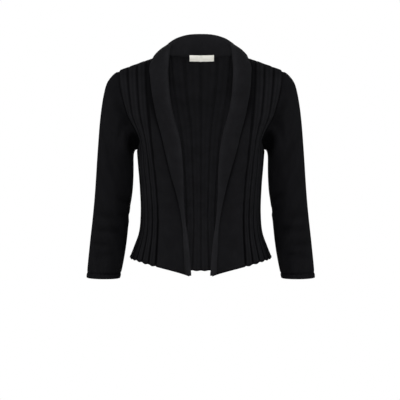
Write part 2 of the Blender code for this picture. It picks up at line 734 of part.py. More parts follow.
def build():
    """Build the whole cardigan."""
    clear_scene()
    knit = make_material("black ribbed knit", KNIT_BLACK, 0.9)
    plain_knit = make_material("black plain knit", KNIT_BLACK, 0.88)
    ribbon = make_material("white woven label", LABEL_WHITE, 0.6)

    front = Panel(FRONT_ROWS, -1.0, PLAIN_STEPS, FRONT_RIBS_ABOVE, FRONT_RIBS_BELOW)
    back = Panel(BACK_ROWS, 1.0, 0, BACK_RIBS_ABOVE, BACK_RIBS_BELOW)
    mirrored_columns(back)
    front_normals = grid_normals(front.skin, 1.0)
    front_wall = panel_wall(front, 1.0)
    back_wall = panel_wall(back, -1.0)
    make_object("front_left", front_wall, knit)
    make_object("front_right", front_wall.mirrored(), knit)
    make_object("back", back_wall, knit)

    collar = collar_wall(collar_half(front, front_wall, front_normals, back, back_wall))
    make_object("collar", collar, plain_knit)

    rims, underarm_index = armhole_rims(front, front_wall, back, back_wall)
    sleeve = sleeve_wall(rims, underarm_index)
    make_object("sleeve_left", sleeve, plain_knit, closed=True)
    make_object("sleeve_right", sleeve.mirrored(), plain_knit, closed=True)

    make_object("neck_label", label_wall(back, back_wall), ribbon)


build()
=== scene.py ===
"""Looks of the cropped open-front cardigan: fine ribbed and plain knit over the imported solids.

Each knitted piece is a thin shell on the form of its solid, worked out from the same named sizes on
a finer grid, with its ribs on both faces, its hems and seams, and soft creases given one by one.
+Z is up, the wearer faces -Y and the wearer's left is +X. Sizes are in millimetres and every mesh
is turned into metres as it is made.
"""
import sys
import logging
import math
from bisect import bisect_left, bisect_right
from collections.abc import Sequence
from dataclasses import dataclass, field, replace
from enum import Enum
from functools import cached_property
from typing import TypeVar

import bmesh
import bpy
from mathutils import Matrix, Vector


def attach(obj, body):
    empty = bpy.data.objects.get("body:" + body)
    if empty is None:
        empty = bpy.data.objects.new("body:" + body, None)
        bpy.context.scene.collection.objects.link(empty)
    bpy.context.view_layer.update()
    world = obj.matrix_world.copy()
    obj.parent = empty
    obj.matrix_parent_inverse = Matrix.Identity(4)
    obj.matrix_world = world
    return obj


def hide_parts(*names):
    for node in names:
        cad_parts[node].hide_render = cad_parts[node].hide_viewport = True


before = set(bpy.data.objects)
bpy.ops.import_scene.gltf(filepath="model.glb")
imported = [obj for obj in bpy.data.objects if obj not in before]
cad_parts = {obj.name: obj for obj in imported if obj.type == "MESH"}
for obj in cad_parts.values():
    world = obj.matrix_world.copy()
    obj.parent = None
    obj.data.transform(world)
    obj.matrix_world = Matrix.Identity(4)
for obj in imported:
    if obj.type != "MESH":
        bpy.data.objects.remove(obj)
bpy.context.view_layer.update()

LOG = logging.getLogger("cardigan")
MM = 0.001

# Points within this many metres count as one, and edges bent by more than this angle stay sharp
MERGE = 1e-6
SPOT_DIGITS = 6
CREASE_ANGLE = math.radians(62.0)

# Turns a point on the wearer's left into one on the right
FLIP = Vector((-1.0, 1.0, 1.0))

# The mesh layers that the knit materials read: the painted shade and light, and the knit chart
PAINTED_SHADING_LAYER = "painted_shading"
CHART_LAYER = "knit"

Key = tuple[int, int]
Grid = dict[Key, Vector]
Chart = dict[Key, tuple[float, float]]
Places = dict[bmesh.types.BMVert, tuple[int, Key]]

# The inner and the outer point of a wall's edge
Rim = tuple[Vector, Vector]

# What a curve may run through
Value = TypeVar("Value", float, Vector)


class Facing(Enum):
    """Which way a panel faces on the wearer."""

    FRONT = -1.0
    BACK = 1.0


class Side(Enum):
    """The wearer's own left or right."""

    LEFT = 1.0
    RIGHT = -1.0

    @property
    def word(self) -> str:
        """The side as part of a piece's name."""
        return self.name.lower()


# Shoulder seam and back neck
NECK_POINT = Vector((80.0, 6.0, 8.0))
SHOULDER_TIP = Vector((193.0, 6.0, -31.3))
BACK_NECK = Vector((0.0, 55.0, 3.0))
SHOULDER_SAG = 1.08
FRONT_RIBS_START_X = 127.0
BACK_RIBS_ON_NECK = 3

# How the chest and the shoulder blades round over towards the shoulder seam
SHOULDER_ROUNDNESS = 1.6
NECK_ROUNDNESS = 1.15
SHOULDER_SPREAD = 1.5
FIRST_ROUND_SHARE = 0.24
TOP_STOPS = 32
TOP_CROWDING = 1.6

# Half of the slit between the front and the back along their seams
SEAM_SLIT = 0.04

# A row of a panel seen from above leaves the middle square to it and meets the side seam head on
LEAN_PER_MM = 0.12
ROW_FULLNESS = 1.1
CURVE_STEPS = 60

# Where the fine grid has its rows, in steps of the table, closer together at the hem and at seams
HEM_STOPS = (0.0, 0.012, 0.03, 0.055, 0.08, 0.105, 0.13, 0.16, 0.22, 0.3, 0.45, 0.6, 0.8)
SEAM_STOPS = (0.03, 0.08)
STOP_SPACING = 0.2
WAIST_STOP = 1.0 + STOP_SPACING * 20

# Where a rib has its columns, in shares of its width, closer together at its groove
RIB_PHASES = (0.0, 0.06, 0.12, 0.18, 0.3, 0.5, 0.7, 0.82, 0.88, 0.94)
PLAIN_SHARES = (
    0.0, 0.012, 0.03, 0.055, *(0.03 * step for step in range(3, 31)), 0.925, 0.95, 0.975
)


@dataclass(frozen=True)
class Row:
    """One row of a panel, as in the solids: from its inner edge to the armhole's corner and the side."""

    steps: int
    inner_x: float
    inner_depth: float
    inner_z: float
    corner_z: float
    side_z: float
    inner_bend: float
    side_bend: float
    plain_x: float
    outer_x: float
    outer_depth: float
    turn: float
    corner_share: float
    last_rib: float


FRONT_ROWS = tuple(Row(*row) for row in (
    (2, 27, 104, -507, -474, -468, 0.82, 0.7, 103, 166, 0, 90, 0.5, 1),
    (1, 30.3, 101, -463, -446, -441, 0.75, 0.9, 101, 155, 0, 90, 0.5, 1),
    (2, 34, 99, -429, -420, -417, 1, 1, 99.5, 146, 0, 90, 0.5, 1),
    (2, 41.8, 98, -376, -368, -365, 1, 2, 98.5, 140.5, 0, 90, 0.5, 1),
    (2, 48, 104, -316, -309, -305, 1, 2, 101.5, 142.5, 0, 90, 0.5, 0.9),
    (2, 59, 110, -262, -254, -256, 1, 2, 107, 146.5, 0, 90, 0.49, 0.75),
    (3, 67, 110, -206, -200, -218, 1, 2, 113, 149.5, 0, 90, 0.48, 0.5),
    (0, 81, 93, -125, -133, -133, 1, 2, 120, 172.5, 48, 48, 1, 0.75),
))
BACK_ROWS = tuple(Row(*row) for row in (
    (2, 0, 106, -511, -489, -468, 2, 1.2, 0, 166, 0, 90, 0.636, 1),
    (1, 0, 100, -468, -452, -441, 2, 1.2, 0, 155, 0, 90, 0.636, 1),
    (2, 0, 95, -433, -425, -417, 2, 1.2, 0, 146, 0, 90, 0.636, 1),
    (2, 0, 88, -378, -372, -365, 2, 2, 0, 140.5, 0, 90, 0.636, 1),
    (2, 0, 92, -318, -311, -305, 2, 2, 0, 142.5, 0, 90, 0.66, 1),
    (2, 0, 99, -264, -256, -256, 2, 2, 0, 146.5, 0, 90, 0.7, 1),
    (3, 0, 104, -210, -190, -218, 2, 2, 0, 149.5, 0, 90, 0.75, 1),
    (0, 0, 103, -140, -133, -133, 1, 2, 0, 172, 50, 52, 1, 1),
))


@dataclass(frozen=True)
class LapelRow:
    """The collar beside the opening at one height of its seam, as in the solids."""

    seam_z: float
    stand: float
    rise: float
    reach: float
    lift: float
    roll: float
    bow: float


LAPEL_ROWS = tuple(LapelRow(*row) for row in (
    (-507, 5.5, 0, 9.5, 5.4, 2.7, 0),
    (-452, 5, 0, 7, 5.4, 2.7, 0),
    (-376, 5.5, 0, 1.5, 5.4, 2.7, 0),
    (-316, 7.8, 0, 7, 5.6, 2.8, 0.3),
    (-262, 18, 0, 10.5, 6, 3, 1),
    (-206, 20.8, 2, 16.7, 6.5, 3.2, 2),
    (-158, 19.5, 8, 19.4, 6.5, 3.4, 2.5),
    (-125, 16, 20, 23, 6.5, 3.5, 3),
    (-96, 13, 38, 29.3, 6.5, 3.5, 3.5),
    (-45, 16.5, 65, 36, 6, 3.5, 3.5),
    (-20, 18.5, 64, 38, 5.2, 3.5, 3),
    (8, 21, 60, 29, 4, 3.5, 2),
))


@dataclass(frozen=True)
class NeckRow:
    """The collar behind the neck at one share of the way to the middle of the back."""

    share: float
    crest: tuple[float, float, float]
    edge: tuple[float, float, float]


NECK_ROWS = (
    NeckRow(0.33, (67.5, 25.0, 37.8), (99.0, 34.0, -4.0)),
    NeckRow(0.60, (52.0, 46.0, 49.6), (76.0, 56.0, -10.0)),
    NeckRow(0.80, (29.0, 57.5, 57.4), (42.0, 65.5, -9.5)),
    NeckRow(1.00, (0.0, 61.0, 59.3), (0.0, 68.5, -8.0)),
    NeckRow(1.20, (-29.0, 57.5, 57.4), (-42.0, 65.5, -9.5)),
)


@dataclass(frozen=True)
class SleeveRow:
    """One ring of a sleeve, as in the solids. `keep` is the share of the armhole's own form left."""

    outer_x: float
    outer_z: float
    inner_x: float
    inner_z: float
    mid_y: float
    half_depth: float
    keep: float


SLEEVE_ROWS = tuple(SleeveRow(*row) for row in (
    (201.5, -34.4, 153, -218.5, 0, 55.5, 0.9),
    (212.4, -46, 155.5, -221, -0.5, 56.5, 0.65),
    (221.6, -62, 157, -225, -1, 57, 0.4),
    (228, -88, 157.5, -231, -1.5, 57, 0.2),
    (233, -120, 157.5, -240, -2, 56.5, 0.08),
    (237.1, -158, 157.5, -252, -2.5, 55, 0),
    (240.3, -200, 157.5, -268, -3, 53.5, 0),
    (243.2, -243, 158, -288, -4, 52.5, 0),
    (245.6, -284, 159.5, -313, -5.5, 51.5, 0),
    (248, -322, 163, -341, -8, 50.5, 0),
    (250.8, -358, 166.8, -371, -12, 49.5, 0),
    (254, -392, 169.6, -401, -16, 48.5, 0),
    (257.3, -424, 172.6, -431, -20, 47.5, 0),
    (260.2, -455, 176.6, -460, -24, 46, 0),
    (262.9, -485, 181.8, -489, -28, 44.5, 0),
    (265, -515, 187.8, -516.5, -32.5, 43.6, 0),
))


# A crease runs on past both ends by a share of its length, and fades out there over a longer share.
# Its low ridge lies so many widths beside its trough and is this share of its depth.
CREASE_OVERRUN = 0.15
CREASE_FADE = 0.45
RIDGE_ASIDE = 1.7
RIDGE_SHARE = 0.4


@dataclass(frozen=True)
class Crease:
    """A soft trough with a low ridge beside it, between two places on a piece's chart in mm.

    On a panel the chart is x and z. On a sleeve it is the angle in degrees, which is about a
    millimetre each, from the outside of the arm towards the front, and z.
    """

    start: tuple[float, float]
    end: tuple[float, float]
    depth: float
    width: float

    def height(self, across: float, up: float) -> float:
        """Height of the crease at a place on the chart.

        Args:
            across: first chart coordinate.
            up: second chart coordinate.

        Returns:
            Height in millimetres, below zero in the trough.
        """
        run = (self.end[0] - self.start[0], self.end[1] - self.start[1])
        length = math.hypot(*run)
        away = (across - self.start[0], up - self.start[1])
        share = (away[0] * run[0] + away[1] * run[1]) / length**2
        aside = (away[0] * run[1] - away[1] * run[0]) / length / self.width
        taper = smooth((share + CREASE_OVERRUN) / CREASE_FADE)
        taper *= smooth((1.0 + CREASE_OVERRUN - share) / CREASE_FADE)
        return self.depth * taper * (RIDGE_SHARE * bell(aside - RIDGE_ASIDE) - bell(aside))


def creases(*rows: tuple[float, ...]) -> tuple[Crease, ...]:
    """Creases from rows of start, end, depth and width."""
    return tuple(Crease(row[0:2], row[2:4], row[4], row[5]) for row in rows)


FRONT_CREASES = {
    Side.LEFT: creases(
        (138, -212, 96, -300, 1.6, 9),
        (128, -196, 100, -236, 1.4, 6),
        (58, -352, 118, -338, 1.1, 7),
        (52, -392, 104, -372, 0.9, 8),
        (84, -300, 118, -318, 0.8, 6),
        (62, -498, 70, -410, 1.3, 11),
    ),
    Side.RIGHT: creases(
        (138, -214, 102, -286, 1.5, 8),
        (126, -200, 94, -250, 1.2, 7),
        (50, -344, 112, -352, 1, 8),
        (66, -388, 116, -380, 0.9, 6),
        (78, -318, 124, -304, 0.8, 7),
        (72, -494, 66, -420, 1.2, 12),
    ),
}
BACK_CREASES = creases(
    (-120, -352, -20, -340, 1.8, 8),
    (18, -356, 126, -344, 1.6, 9),
    (-70, -384, 54, -376, 1.4, 10),
    (-132, -232, -86, -330, 1.6, 10),
    (136, -228, 96, -318, 1.7, 9),
    (-96, -170, -128, -230, 1.3, 9),
    (102, -164, 132, -226, 1.4, 8),
    (-58, -90, 52, -96, 1, 12),
    (34, -500, 26, -420, 1.2, 12),
    (-86, -494, -74, -424, 1.3, 13),
)
SLEEVE_CREASES = {
    Side.LEFT: creases(
        (96, -112, 104, -200, 4.6, 7),
        (114, -122, 158, -232, 8.5, 15),
        (238, -150, 206, -240, 4.6, 13),
        (62, -190, 98, -262, 1.3, 10),
        (100, -318, 184, -342, 2.4, 8),
        (120, -350, 206, -362, 2, 7),
        (118, -160, 140, -214, 6.5, 12),
        (26, -366, 108, -370, 2.6, 7),
        (34, -398, 134, -402, 3, 7),
        (20, -432, 98, -436, 2.8, 7),
        (40, -462, 124, -459, 2.4, 6),
        (212, -330, 300, -352, 1.8, 9),
        (196, -388, 282, -372, 1.6, 8),
        (228, -430, 318, -440, 1.2, 8),
        (262, -120, 254, -200, 2.2, 9),
    ),
    Side.RIGHT: creases(
        (99, -106, 103, -194, 4.8, 6.5),
        (116, -126, 156, -228, 8.8, 14.5),
        (236, -144, 208, -236, 4.4, 12),
        (58, -204, 92, -280, 1.2, 11),
        (108, -330, 190, -350, 2.2, 8),
        (116, -366, 202, -374, 2.1, 8),
        (120, -158, 142, -212, 6.6, 12),
        (30, -364, 112, -372, 2.5, 7),
        (36, -399, 130, -404, 3, 7),
        (22, -430, 102, -437, 2.7, 6.5),
        (44, -463, 118, -458, 2.2, 6),
        (216, -342, 296, -358, 1.9, 9),
        (190, -396, 276, -384, 1.5, 8),
        (232, -444, 312, -436, 1.1, 8),
        (260, -126, 256, -210, 2.4, 9),
    ),
}


def smooth(share: float) -> float:
    """Ease a share from 0 to 1, held outside that range."""
    held = min(max(share, 0.0), 1.0)
    return held * held * (3.0 - 2.0 * held)


def bell(away: float, width: float = 1.0) -> float:
    """Height of a bell curve away from its middle: 1 there, and about a third one width away."""
    return math.exp(-((away / width) ** 2))


def at_least(low: float, share: float) -> float:
    """A share from 0 to 1, squeezed into the range from a low one to 1."""
    return low + (1.0 - low) * share


@dataclass(frozen=True)
class Ramp:
    """An eased rise from 0 to 1 that starts at a value and is whole one reach on, or back if negative."""

    start: float
    reach: float

    def at(self, value: float) -> float:
        """Share of the rise at a value."""
        return smooth((value - self.start) / self.reach)


def slope(knots: Sequence[float], values: Sequence[Value], index: int) -> Value:
    """Slope of a smooth curve through values, numbers or vectors, at one of its knots.

    Args:
        knots: rising places of the values.
        values: the values.
        index: which knot.

    Returns:
        The slope there.
    """
    before = max(index - 1, 0)
    after = min(index + 1, len(knots) - 1)
    if before == index or after == index:
        return (values[after] - values[before]) / (knots[after] - knots[before])
    gap_before = knots[index] - knots[before]
    gap_after = knots[after] - knots[index]
    slope_before = (values[index] - values[before]) / gap_before
    slope_after = (values[after] - values[index]) / gap_after
    return (slope_before * gap_after + slope_after * gap_before) / (gap_before + gap_after)


def spline(knots: Sequence[float], values: Sequence[Value], at: float) -> Value:
    """Value at a place on a smooth curve through values, numbers or vectors.

    Args:
        knots: rising places of the values.
        values: the values.
        at: the place.

    Returns:
        The value there.
    """
    index = min(max(bisect_right(knots, at) - 1, 0), len(knots) - 2)
    span = knots[index + 1] - knots[index]
    s = (at - knots[index]) / span
    start_slope = slope(knots, values, index) * span
    end_slope = slope(knots, values, index + 1) * span
    rise = values[index + 1] - values[index]
    return values[index] + (
        start_slope * s
        + (rise * 3.0 - start_slope * 2.0 - end_slope) * s**2
        + (start_slope + end_slope - rise * 2.0) * s**3
    )


def running_lengths(points: Sequence[Vector]) -> list[float]:
    """Length along a line of points, up to each of them.

    Args:
        points: the line's points.

    Returns:
        One length for each point, from zero.
    """
    lengths = [0.0]
    for before, after in zip(points, points[1:]):
        lengths.append(lengths[-1] + (after - before).length)
    return lengths


def grid_normals(points: Grid, outside: float) -> Grid:
    """Unit normals of a grid.

    Args:
        points: the grid.
        outside: 1 or -1, to turn the normals out of the garment.

    Returns:
        A normal for each key.
    """
    normals = {}
    for (column, row), point in points.items():
        across = points.get((column + 1, row), point) - points.get((column - 1, row), point)
        along = points.get((column, row + 1), point) - points.get((column, row - 1), point)
        normals[column, row] = across.cross(along).normalized() * outside
    return normals


def grid_area(points: Grid) -> float:
    """Area of a grid's quads in square metres.

    Args:
        points: the grid, in millimetres.

    Returns:
        The area.
    """
    area = 0.0
    for (column, row), point in points.items():
        across = points.get((column + 1, row))
        along = points.get((column, row + 1))
        if across is not None and along is not None:
            area += (across - point).cross(along - point).length
    return area * MM * MM


@dataclass
class Shell:
    """A wall of cloth as two facing grids, with its knit chart in millimetres and its painted shade and
    light.

    The painted shading is 1 on the surface, lower in painted shade down to 0 at the bottom of a groove,
    and above 1 in painted light. A closed shell runs round a tube, and `wrap` is how far its chart
    goes on from the first column to meet it again.
    """

    outer: Grid = field(default_factory=dict)
    inner: Grid = field(default_factory=dict)
    chart: Chart = field(default_factory=dict)
    painted_shading: dict[Key, float] = field(default_factory=dict)
    closed: bool = False
    wrap: float = 0.0
    # How much of the painted shade the inside takes, and how much brighter the inside is painted
    inside_shade: float = 1.0
    inside_painted_light: float = 1.0

    def rim(self, key: Key) -> Rim:
        """Both points of the wall at a key on its edge."""
        return self.inner[key], self.outer[key]

    def mirrored(self) -> "Shell":
        """The same shell on the wearer's other side."""
        outer = {key: point * FLIP for key, point in self.outer.items()}
        inner = {key: point * FLIP for key, point in self.inner.items()}
        return replace(self, outer=outer, inner=inner)

    def make(self, name: str, finish: "Finish") -> bpy.types.Object:
        """Turn the shell into one closed mesh: a grid on its outside, extruded to its inside.

        Args:
            name: the piece's name.
            finish: the finish that it takes.

        Returns:
            The piece.
        """
        columns = sorted({column for column, row in self.outer})
        rows = sorted({row for column, row in self.outer})
        wide = len(columns) + (1 if self.closed else 0)
        mesh = bmesh.new()
        mesh.verts.layers.float.new(PAINTED_SHADING_LAYER)
        mesh.loops.layers.uv.new(CHART_LAYER)
        bmesh.ops.create_grid(mesh, x_segments=wide - 1, y_segments=len(rows) - 1, size=0.5)
        place_of = {}
        for vertex in mesh.verts:
            step = round((vertex.co.x + 0.5) * (wide - 1))
            row = rows[round((vertex.co.y + 0.5) * (len(rows) - 1))]
            place_of[vertex] = step, (columns[step % len(columns)], row)
        missing = [vertex for vertex, (step, key) in place_of.items() if key not in self.outer]
        bmesh.ops.delete(mesh, geom=missing, context="VERTS")
        outside = {vertex: place_of[vertex] for vertex in mesh.verts}
        by_spot = {vertex.co.to_tuple(SPOT_DIGITS): place for vertex, place in outside.items()}
        extruded = bmesh.ops.extrude_face_region(mesh, geom=list(mesh.faces), use_keep_orig=True)
        inside = {
            item: by_spot[item.co.to_tuple(SPOT_DIGITS)]
            for item in extruded["geom"]
            if isinstance(item, bmesh.types.BMVert)
        }
        if self.closed:
            side = 0.5 - MERGE
            ends = [f for f in mesh.faces if all(abs(vertex.co.x) > side for vertex in f.verts)]
            bmesh.ops.delete(mesh, geom=ends, context="FACES")
        self.lay_chart(mesh, {**outside, **inside}, len(columns))
        self.lay_face(mesh, outside, self.outer, 1.0, 1.0)
        self.lay_face(mesh, inside, self.inner, self.inside_shade, self.inside_painted_light)
        if self.closed:
            bmesh.ops.remove_doubles(mesh, verts=mesh.verts, dist=MERGE)
        bmesh.ops.recalc_face_normals(mesh, faces=mesh.faces)
        if mesh.calc_volume(signed=True) < 0.0:
            bmesh.ops.reverse_faces(mesh, faces=mesh.faces)
        return finished_piece(mesh, name, finish)

    def lay_chart(self, mesh: bmesh.types.BMesh, places: Places, count: int) -> None:
        """Lay the knit chart on every face.

        Args:
            mesh: the mesh.
            places: step across and key of each vertex.
            count: how many columns the shell has.
        """
        layer = mesh.loops.layers.uv[CHART_LAYER]
        for face in mesh.faces:
            for loop in face.loops:
                step, key = places[loop.vert]
                across, up = self.chart[key]
                if step == count:
                    across += self.wrap
                loop[layer].uv = (across * MM, up * MM)

    def lay_face(self, mesh: bmesh.types.BMesh, places: Places, points: Grid, shade: float,
                 gain: float) -> None:
        """Move the outside or the inside of the wall to its points and give it its painted shade and
        light.

        Args:
            mesh: the mesh.
            places: step across and key of each vertex of that side.
            points: the side's points.
            shade: how much of the painted shade it takes.
            gain: how much brighter it is painted.
        """
        layer = mesh.verts.layers.float[PAINTED_SHADING_LAYER]
        for vertex, (_, key) in places.items():
            vertex.co = points[key] * MM
            # The painted shade and light, as a factor on the cloth's colour
            vertex[layer] = gain * (1.0 - shade * (1.0 - self.painted_shading.get(key, 1.0)))


def finished_piece(mesh: bmesh.types.BMesh, name: str, finish: "Finish") -> bpy.types.Object:
    """Turn a bmesh into a smooth-shaded object with its finish.

    Args:
        mesh: the mesh, which is freed.
        name: the piece's name.
        finish: the finish that it takes.

    Returns:
        The piece.
    """
    data = bpy.data.meshes.new(name)
    mesh.to_mesh(data)
    mesh.free()
    data.materials.append(finish.material())
    data.shade_smooth()
    data.set_sharp_from_angle(angle=CREASE_ANGLE)
    piece = bpy.data.objects.new(name, data)
    bpy.context.collection.objects.link(piece)
    return piece


@dataclass
class PlanCurve:
    """A row of a panel seen from above, measured along its length."""

    row: Row
    facing: Facing

    @cached_property
    def points(self) -> list[Vector]:
        """Points of the curve, from the row's inner edge outwards.

        Returns:
            The points.
        """
        facing = self.facing.value
        lean = math.radians(self.row.inner_x * LEAN_PER_MM)
        turn = math.radians(self.row.turn)
        start = Vector((self.row.inner_x, facing * self.row.inner_depth))
        end = Vector((self.row.outer_x, facing * self.row.outer_depth))
        swing = turn - lean
        handle = 4.0 / 3.0 * math.tan(swing / 4.0) / (2.0 * math.sin(swing / 2.0))
        handle *= (end - start).length * ROW_FULLNESS
        after_start = start + Vector((math.cos(lean), -facing * math.sin(lean))) * handle
        before_end = end - Vector((math.cos(turn), -facing * math.sin(turn))) * handle
        points = []
        for step in range(CURVE_STEPS + 1):
            s = step / CURVE_STEPS
            points.append(
                start * (1.0 - s) ** 3
                + after_start * 3.0 * s * (1.0 - s) ** 2
                + before_end * 3.0 * s**2 * (1.0 - s)
                + end * s**3
            )
        return points

    @cached_property
    def lengths(self) -> list[float]:
        """Length along the curve up to each of its points."""
        return running_lengths(self.points)

    def at(self, length: float) -> Vector:
        """Point of the smoothed curve, seen from above, at a length along it."""
        return spline(self.lengths, self.points, min(length, self.lengths[-1]))

    def length_to(self, x: float) -> float:
        """Length along the curve to where it reaches x.

        Args:
            x: the distance from the middle.

        Returns:
            The length.
        """
        for index, (before, after) in enumerate(zip(self.points, self.points[1:])):
            if after.x >= x:
                share = (x - before.x) / (after.x - before.x)
                return self.lengths[index] + share * (self.lengths[index + 1] - self.lengths[index])
        return self.lengths[-1]


@dataclass(frozen=True)
class Column:
    """One column of a panel's fine grid: in the plain strip, or in a rib before or past the corner."""

    rib: int | None
    phase: float
    below: bool = False

    @property
    def groove_gap(self) -> float:
        """How far the column is from the nearest groove, in shares of a rib, up to a half."""
        return 0.5 if self.rib is None else min(self.phase, 1.0 - self.phase)


@dataclass
class PanelForm:
    """The smooth form of a panel on a fine grid, columns along the ribs and rows from the hem up.

    Columns past the corner column stop at the armhole row, as in the solids.
    """

    rows: tuple[Row, ...]
    facing: Facing
    ribs_above: int
    ribs_below: int
    plain: bool
    skin: Grid = field(default_factory=dict)

    @cached_property
    def columns(self) -> list[Column]:
        """The panel's columns, from the opening or the middle of the back to the side seam.

        Returns:
            The columns.
        """
        columns = []
        if self.plain:
            columns += [Column(None, share) for share in PLAIN_SHARES]
        for rib in range(self.ribs_above):
            columns += [Column(rib, phase) for phase in RIB_PHASES]
        for rib in range(self.ribs_below):
            columns += [Column(rib, phase, below=True) for phase in RIB_PHASES]
        columns.append(Column(self.ribs_below - 1, 1.0, below=True))
        return columns

    @cached_property
    def knots(self) -> list[int]:
        """Where the table's rows stand, in its own steps.

        Returns:
            A step for each row.
        """
        knots = [0]
        for row in self.rows[:-1]:
            knots.append(knots[-1] + row.steps)
        return knots

    @cached_property
    def stops(self) -> list[float]:
        """Where the fine rows stand, in the table's steps, up to 1 past the chest for the top.

        Returns:
            A stop for each fine row.
        """
        arm, chest = self.knots[-2:]
        count = round((arm - 1) / STOP_SPACING)
        stops = list(HEM_STOPS) + [1.0 + STOP_SPACING * step for step in range(count)]
        stops += [arm - stop for stop in reversed(SEAM_STOPS)] + [arm]
        stops += [arm + stop for stop in SEAM_STOPS]
        count = round((chest - arm) / STOP_SPACING)
        stops += [arm + STOP_SPACING * step for step in range(1, count)]
        return stops + [chest + step / TOP_STOPS for step in range(TOP_STOPS + 1)]

    @cached_property
    def corner(self) -> int:
        """The column where the armhole begins."""
        plain = len(PLAIN_SHARES) if self.plain else 0
        return plain + len(RIB_PHASES) * self.ribs_above

    @cached_property
    def side(self) -> int:
        """The column of the side seam."""
        return len(self.columns) - 1

    @cached_property
    def neck(self) -> int:
        """The column of the neck point."""
        return 0 if self.plain else len(RIB_PHASES) * BACK_RIBS_ON_NECK

    @cached_property
    def arm_row(self) -> int:
        """The fine row of the armhole's lowest point."""
        return self.stops.index(self.knots[-2])

    @cached_property
    def top_row(self) -> int:
        """The fine row of the shoulder seam."""
        return len(self.stops) - 1

    def row_points(self, row: Row) -> list[Vector]:
        """Points of one table row.

        Args:
            row: the table row.

        Returns:
            A point for each column that it has.
        """
        curve = PlanCurve(row, self.facing)
        total = curve.lengths[-1]
        ribs_start = curve.length_to(row.plain_x) if self.plain else 0.0
        corner = ribs_start + (total - ribs_start) * row.corner_share
        unit = (corner - ribs_start) / (self.ribs_above - 1 + row.last_rib)
        points = []
        has_side = row.corner_share < 1.0
        for index, column in enumerate(self.columns):
            if index > self.corner and not has_side:
                break
            if column.rib is None:
                place = ribs_start * column.phase
            elif column.below:
                place = corner + (total - corner) * (column.rib + column.phase) / self.ribs_below
            else:
                width = row.last_rib if column.rib == self.ribs_above - 1 else 1.0
                place = ribs_start + unit * (column.rib + column.phase * width)
            flat = curve.at(place)
            if index <= self.corner:
                way = (place / corner) ** row.inner_bend
                z = row.inner_z + (row.corner_z - row.inner_z) * way
            else:
                way = ((total - place) / (total - corner)) ** row.side_bend
                z = row.side_z + (row.corner_z - row.side_z) * way
            points.append(Vector((flat.x, flat.y, z)))
        return points

    def top_points(self) -> list[Vector]:
        """Points of the top edge, along the back neck if it has one and the shoulder seam.

        Returns:
            A point for each column up to the corner.
        """
        seam = SHOULDER_TIP - NECK_POINT
        ribs_start = (FRONT_RIBS_START_X - NECK_POINT.x) / seam.x if self.plain else 0.0
        on_neck = 0 if self.plain else BACK_RIBS_ON_NECK
        points = []
        for index, column in enumerate(self.columns[: self.corner + 1]):
            if column.rib is None:
                share = ribs_start * column.phase
            elif index == self.corner:
                share = 1.0
            else:
                run = (column.rib + column.phase - on_neck) / (self.ribs_above - on_neck)
                share = ribs_start + (1.0 - ribs_start) * run
            if index < self.neck:
                angle = (column.rib + column.phase) / on_neck * math.pi / 2.0
                points.append(Vector((
                    NECK_POINT.x * math.sin(angle),
                    NECK_POINT.y + (BACK_NECK.y - NECK_POINT.y) * math.cos(angle),
                    BACK_NECK.z + (NECK_POINT.z - BACK_NECK.z) * (1.0 - math.cos(angle)),
                )))
                continue
            points.append(Vector((
                NECK_POINT.x + seam.x * share,
                NECK_POINT.y + self.facing.value * SEAM_SLIT,
                NECK_POINT.z + seam.z * share**SHOULDER_SAG,
            )))
        return points

    def over_the_top(self, chest: Vector, top: Vector, share: float) -> Vector:
        """Point on the way from the chest row to the top edge, rounding over.

        Args:
            chest: the column's point on the chest row.
            top: its point on the top edge.
            share: how much of the height is behind it.

        Returns:
            The point.
        """
        towards_neck = (top.y - NECK_POINT.y) / (BACK_NECK.y - NECK_POINT.y)
        towards_neck = min(max(towards_neck, 0.0), 1.0)
        roundness = SHOULDER_ROUNDNESS + (NECK_ROUNDNESS - SHOULDER_ROUNDNESS) * towards_neck
        out = (1.0 - share**roundness) ** (1.0 / roundness)
        across = 1.0 - (1.0 - share) ** SHOULDER_SPREAD
        return Vector((
            chest.x + (top.x - chest.x) * across,
            top.y + (chest.y - top.y) * out,
            chest.z + (top.z - chest.z) * share,
        ))

    def shape(self) -> None:
        """Work out the grid's points from the table rows and the top edge."""
        table = [self.row_points(row) for row in self.rows]
        top = self.top_points()
        chest_stop = self.knots[-1]
        for index in range(self.side + 1):
            above = index <= self.corner
            values = [points[index] for points in (table if above else table[:-1])]
            knots = list(self.knots if above else self.knots[:-1])
            if above:
                values.append(self.over_the_top(table[-1][index], top[index], FIRST_ROUND_SHARE))
                knots.append(chest_stop + 1)
            for row, stop in enumerate(self.stops[: None if above else self.arm_row + 1]):
                if stop <= chest_stop:
                    point = spline(knots, values, stop)
                else:
                    share = 1.0 - (1.0 - (stop - chest_stop)) ** TOP_CROWDING
                    point = self.over_the_top(table[-1][index], top[index], share)
                if index == self.side:
                    point.y = self.facing.value * SEAM_SLIT
                self.skin[index, row] = point

    def last_column(self, row: int) -> int:
        """The outermost column of a row."""
        return self.side if row <= self.arm_row else self.corner

    def last_row(self, column: int) -> int:
        """The topmost row of a column."""
        return self.top_row if column <= self.corner else self.arm_row

    def row_lengths(self, row: int) -> list[float]:
        """Length along a fine row up to each of its columns."""
        return running_lengths([self.skin[column, row] for column in range(self.last_column(row) + 1)])

    def column_lengths(self, column: int) -> list[float]:
        """Length up a column to each of its fine rows."""
        return running_lengths([self.skin[column, row] for row in range(self.last_row(column) + 1)])

    def along_row(self, row: int, distance: float) -> Vector:
        """Point at a distance along a fine row from its inner edge.

        Args:
            row: the fine row.
            distance: the distance.

        Returns:
            The point.
        """
        lengths = self.row_lengths(row)
        column = bisect_left(lengths, distance, 1) - 1
        here, after = self.skin[column, row], self.skin[column + 1, row]
        return here.lerp(after, (distance - lengths[column]) / (after - here).length)


@dataclass
class Gaps:
    """How far a place on a panel lies from the hem, a seam, the first groove and the lapel's edge."""

    hem: float
    seam: float = math.inf
    first: float = math.inf
    lapel: float = math.inf


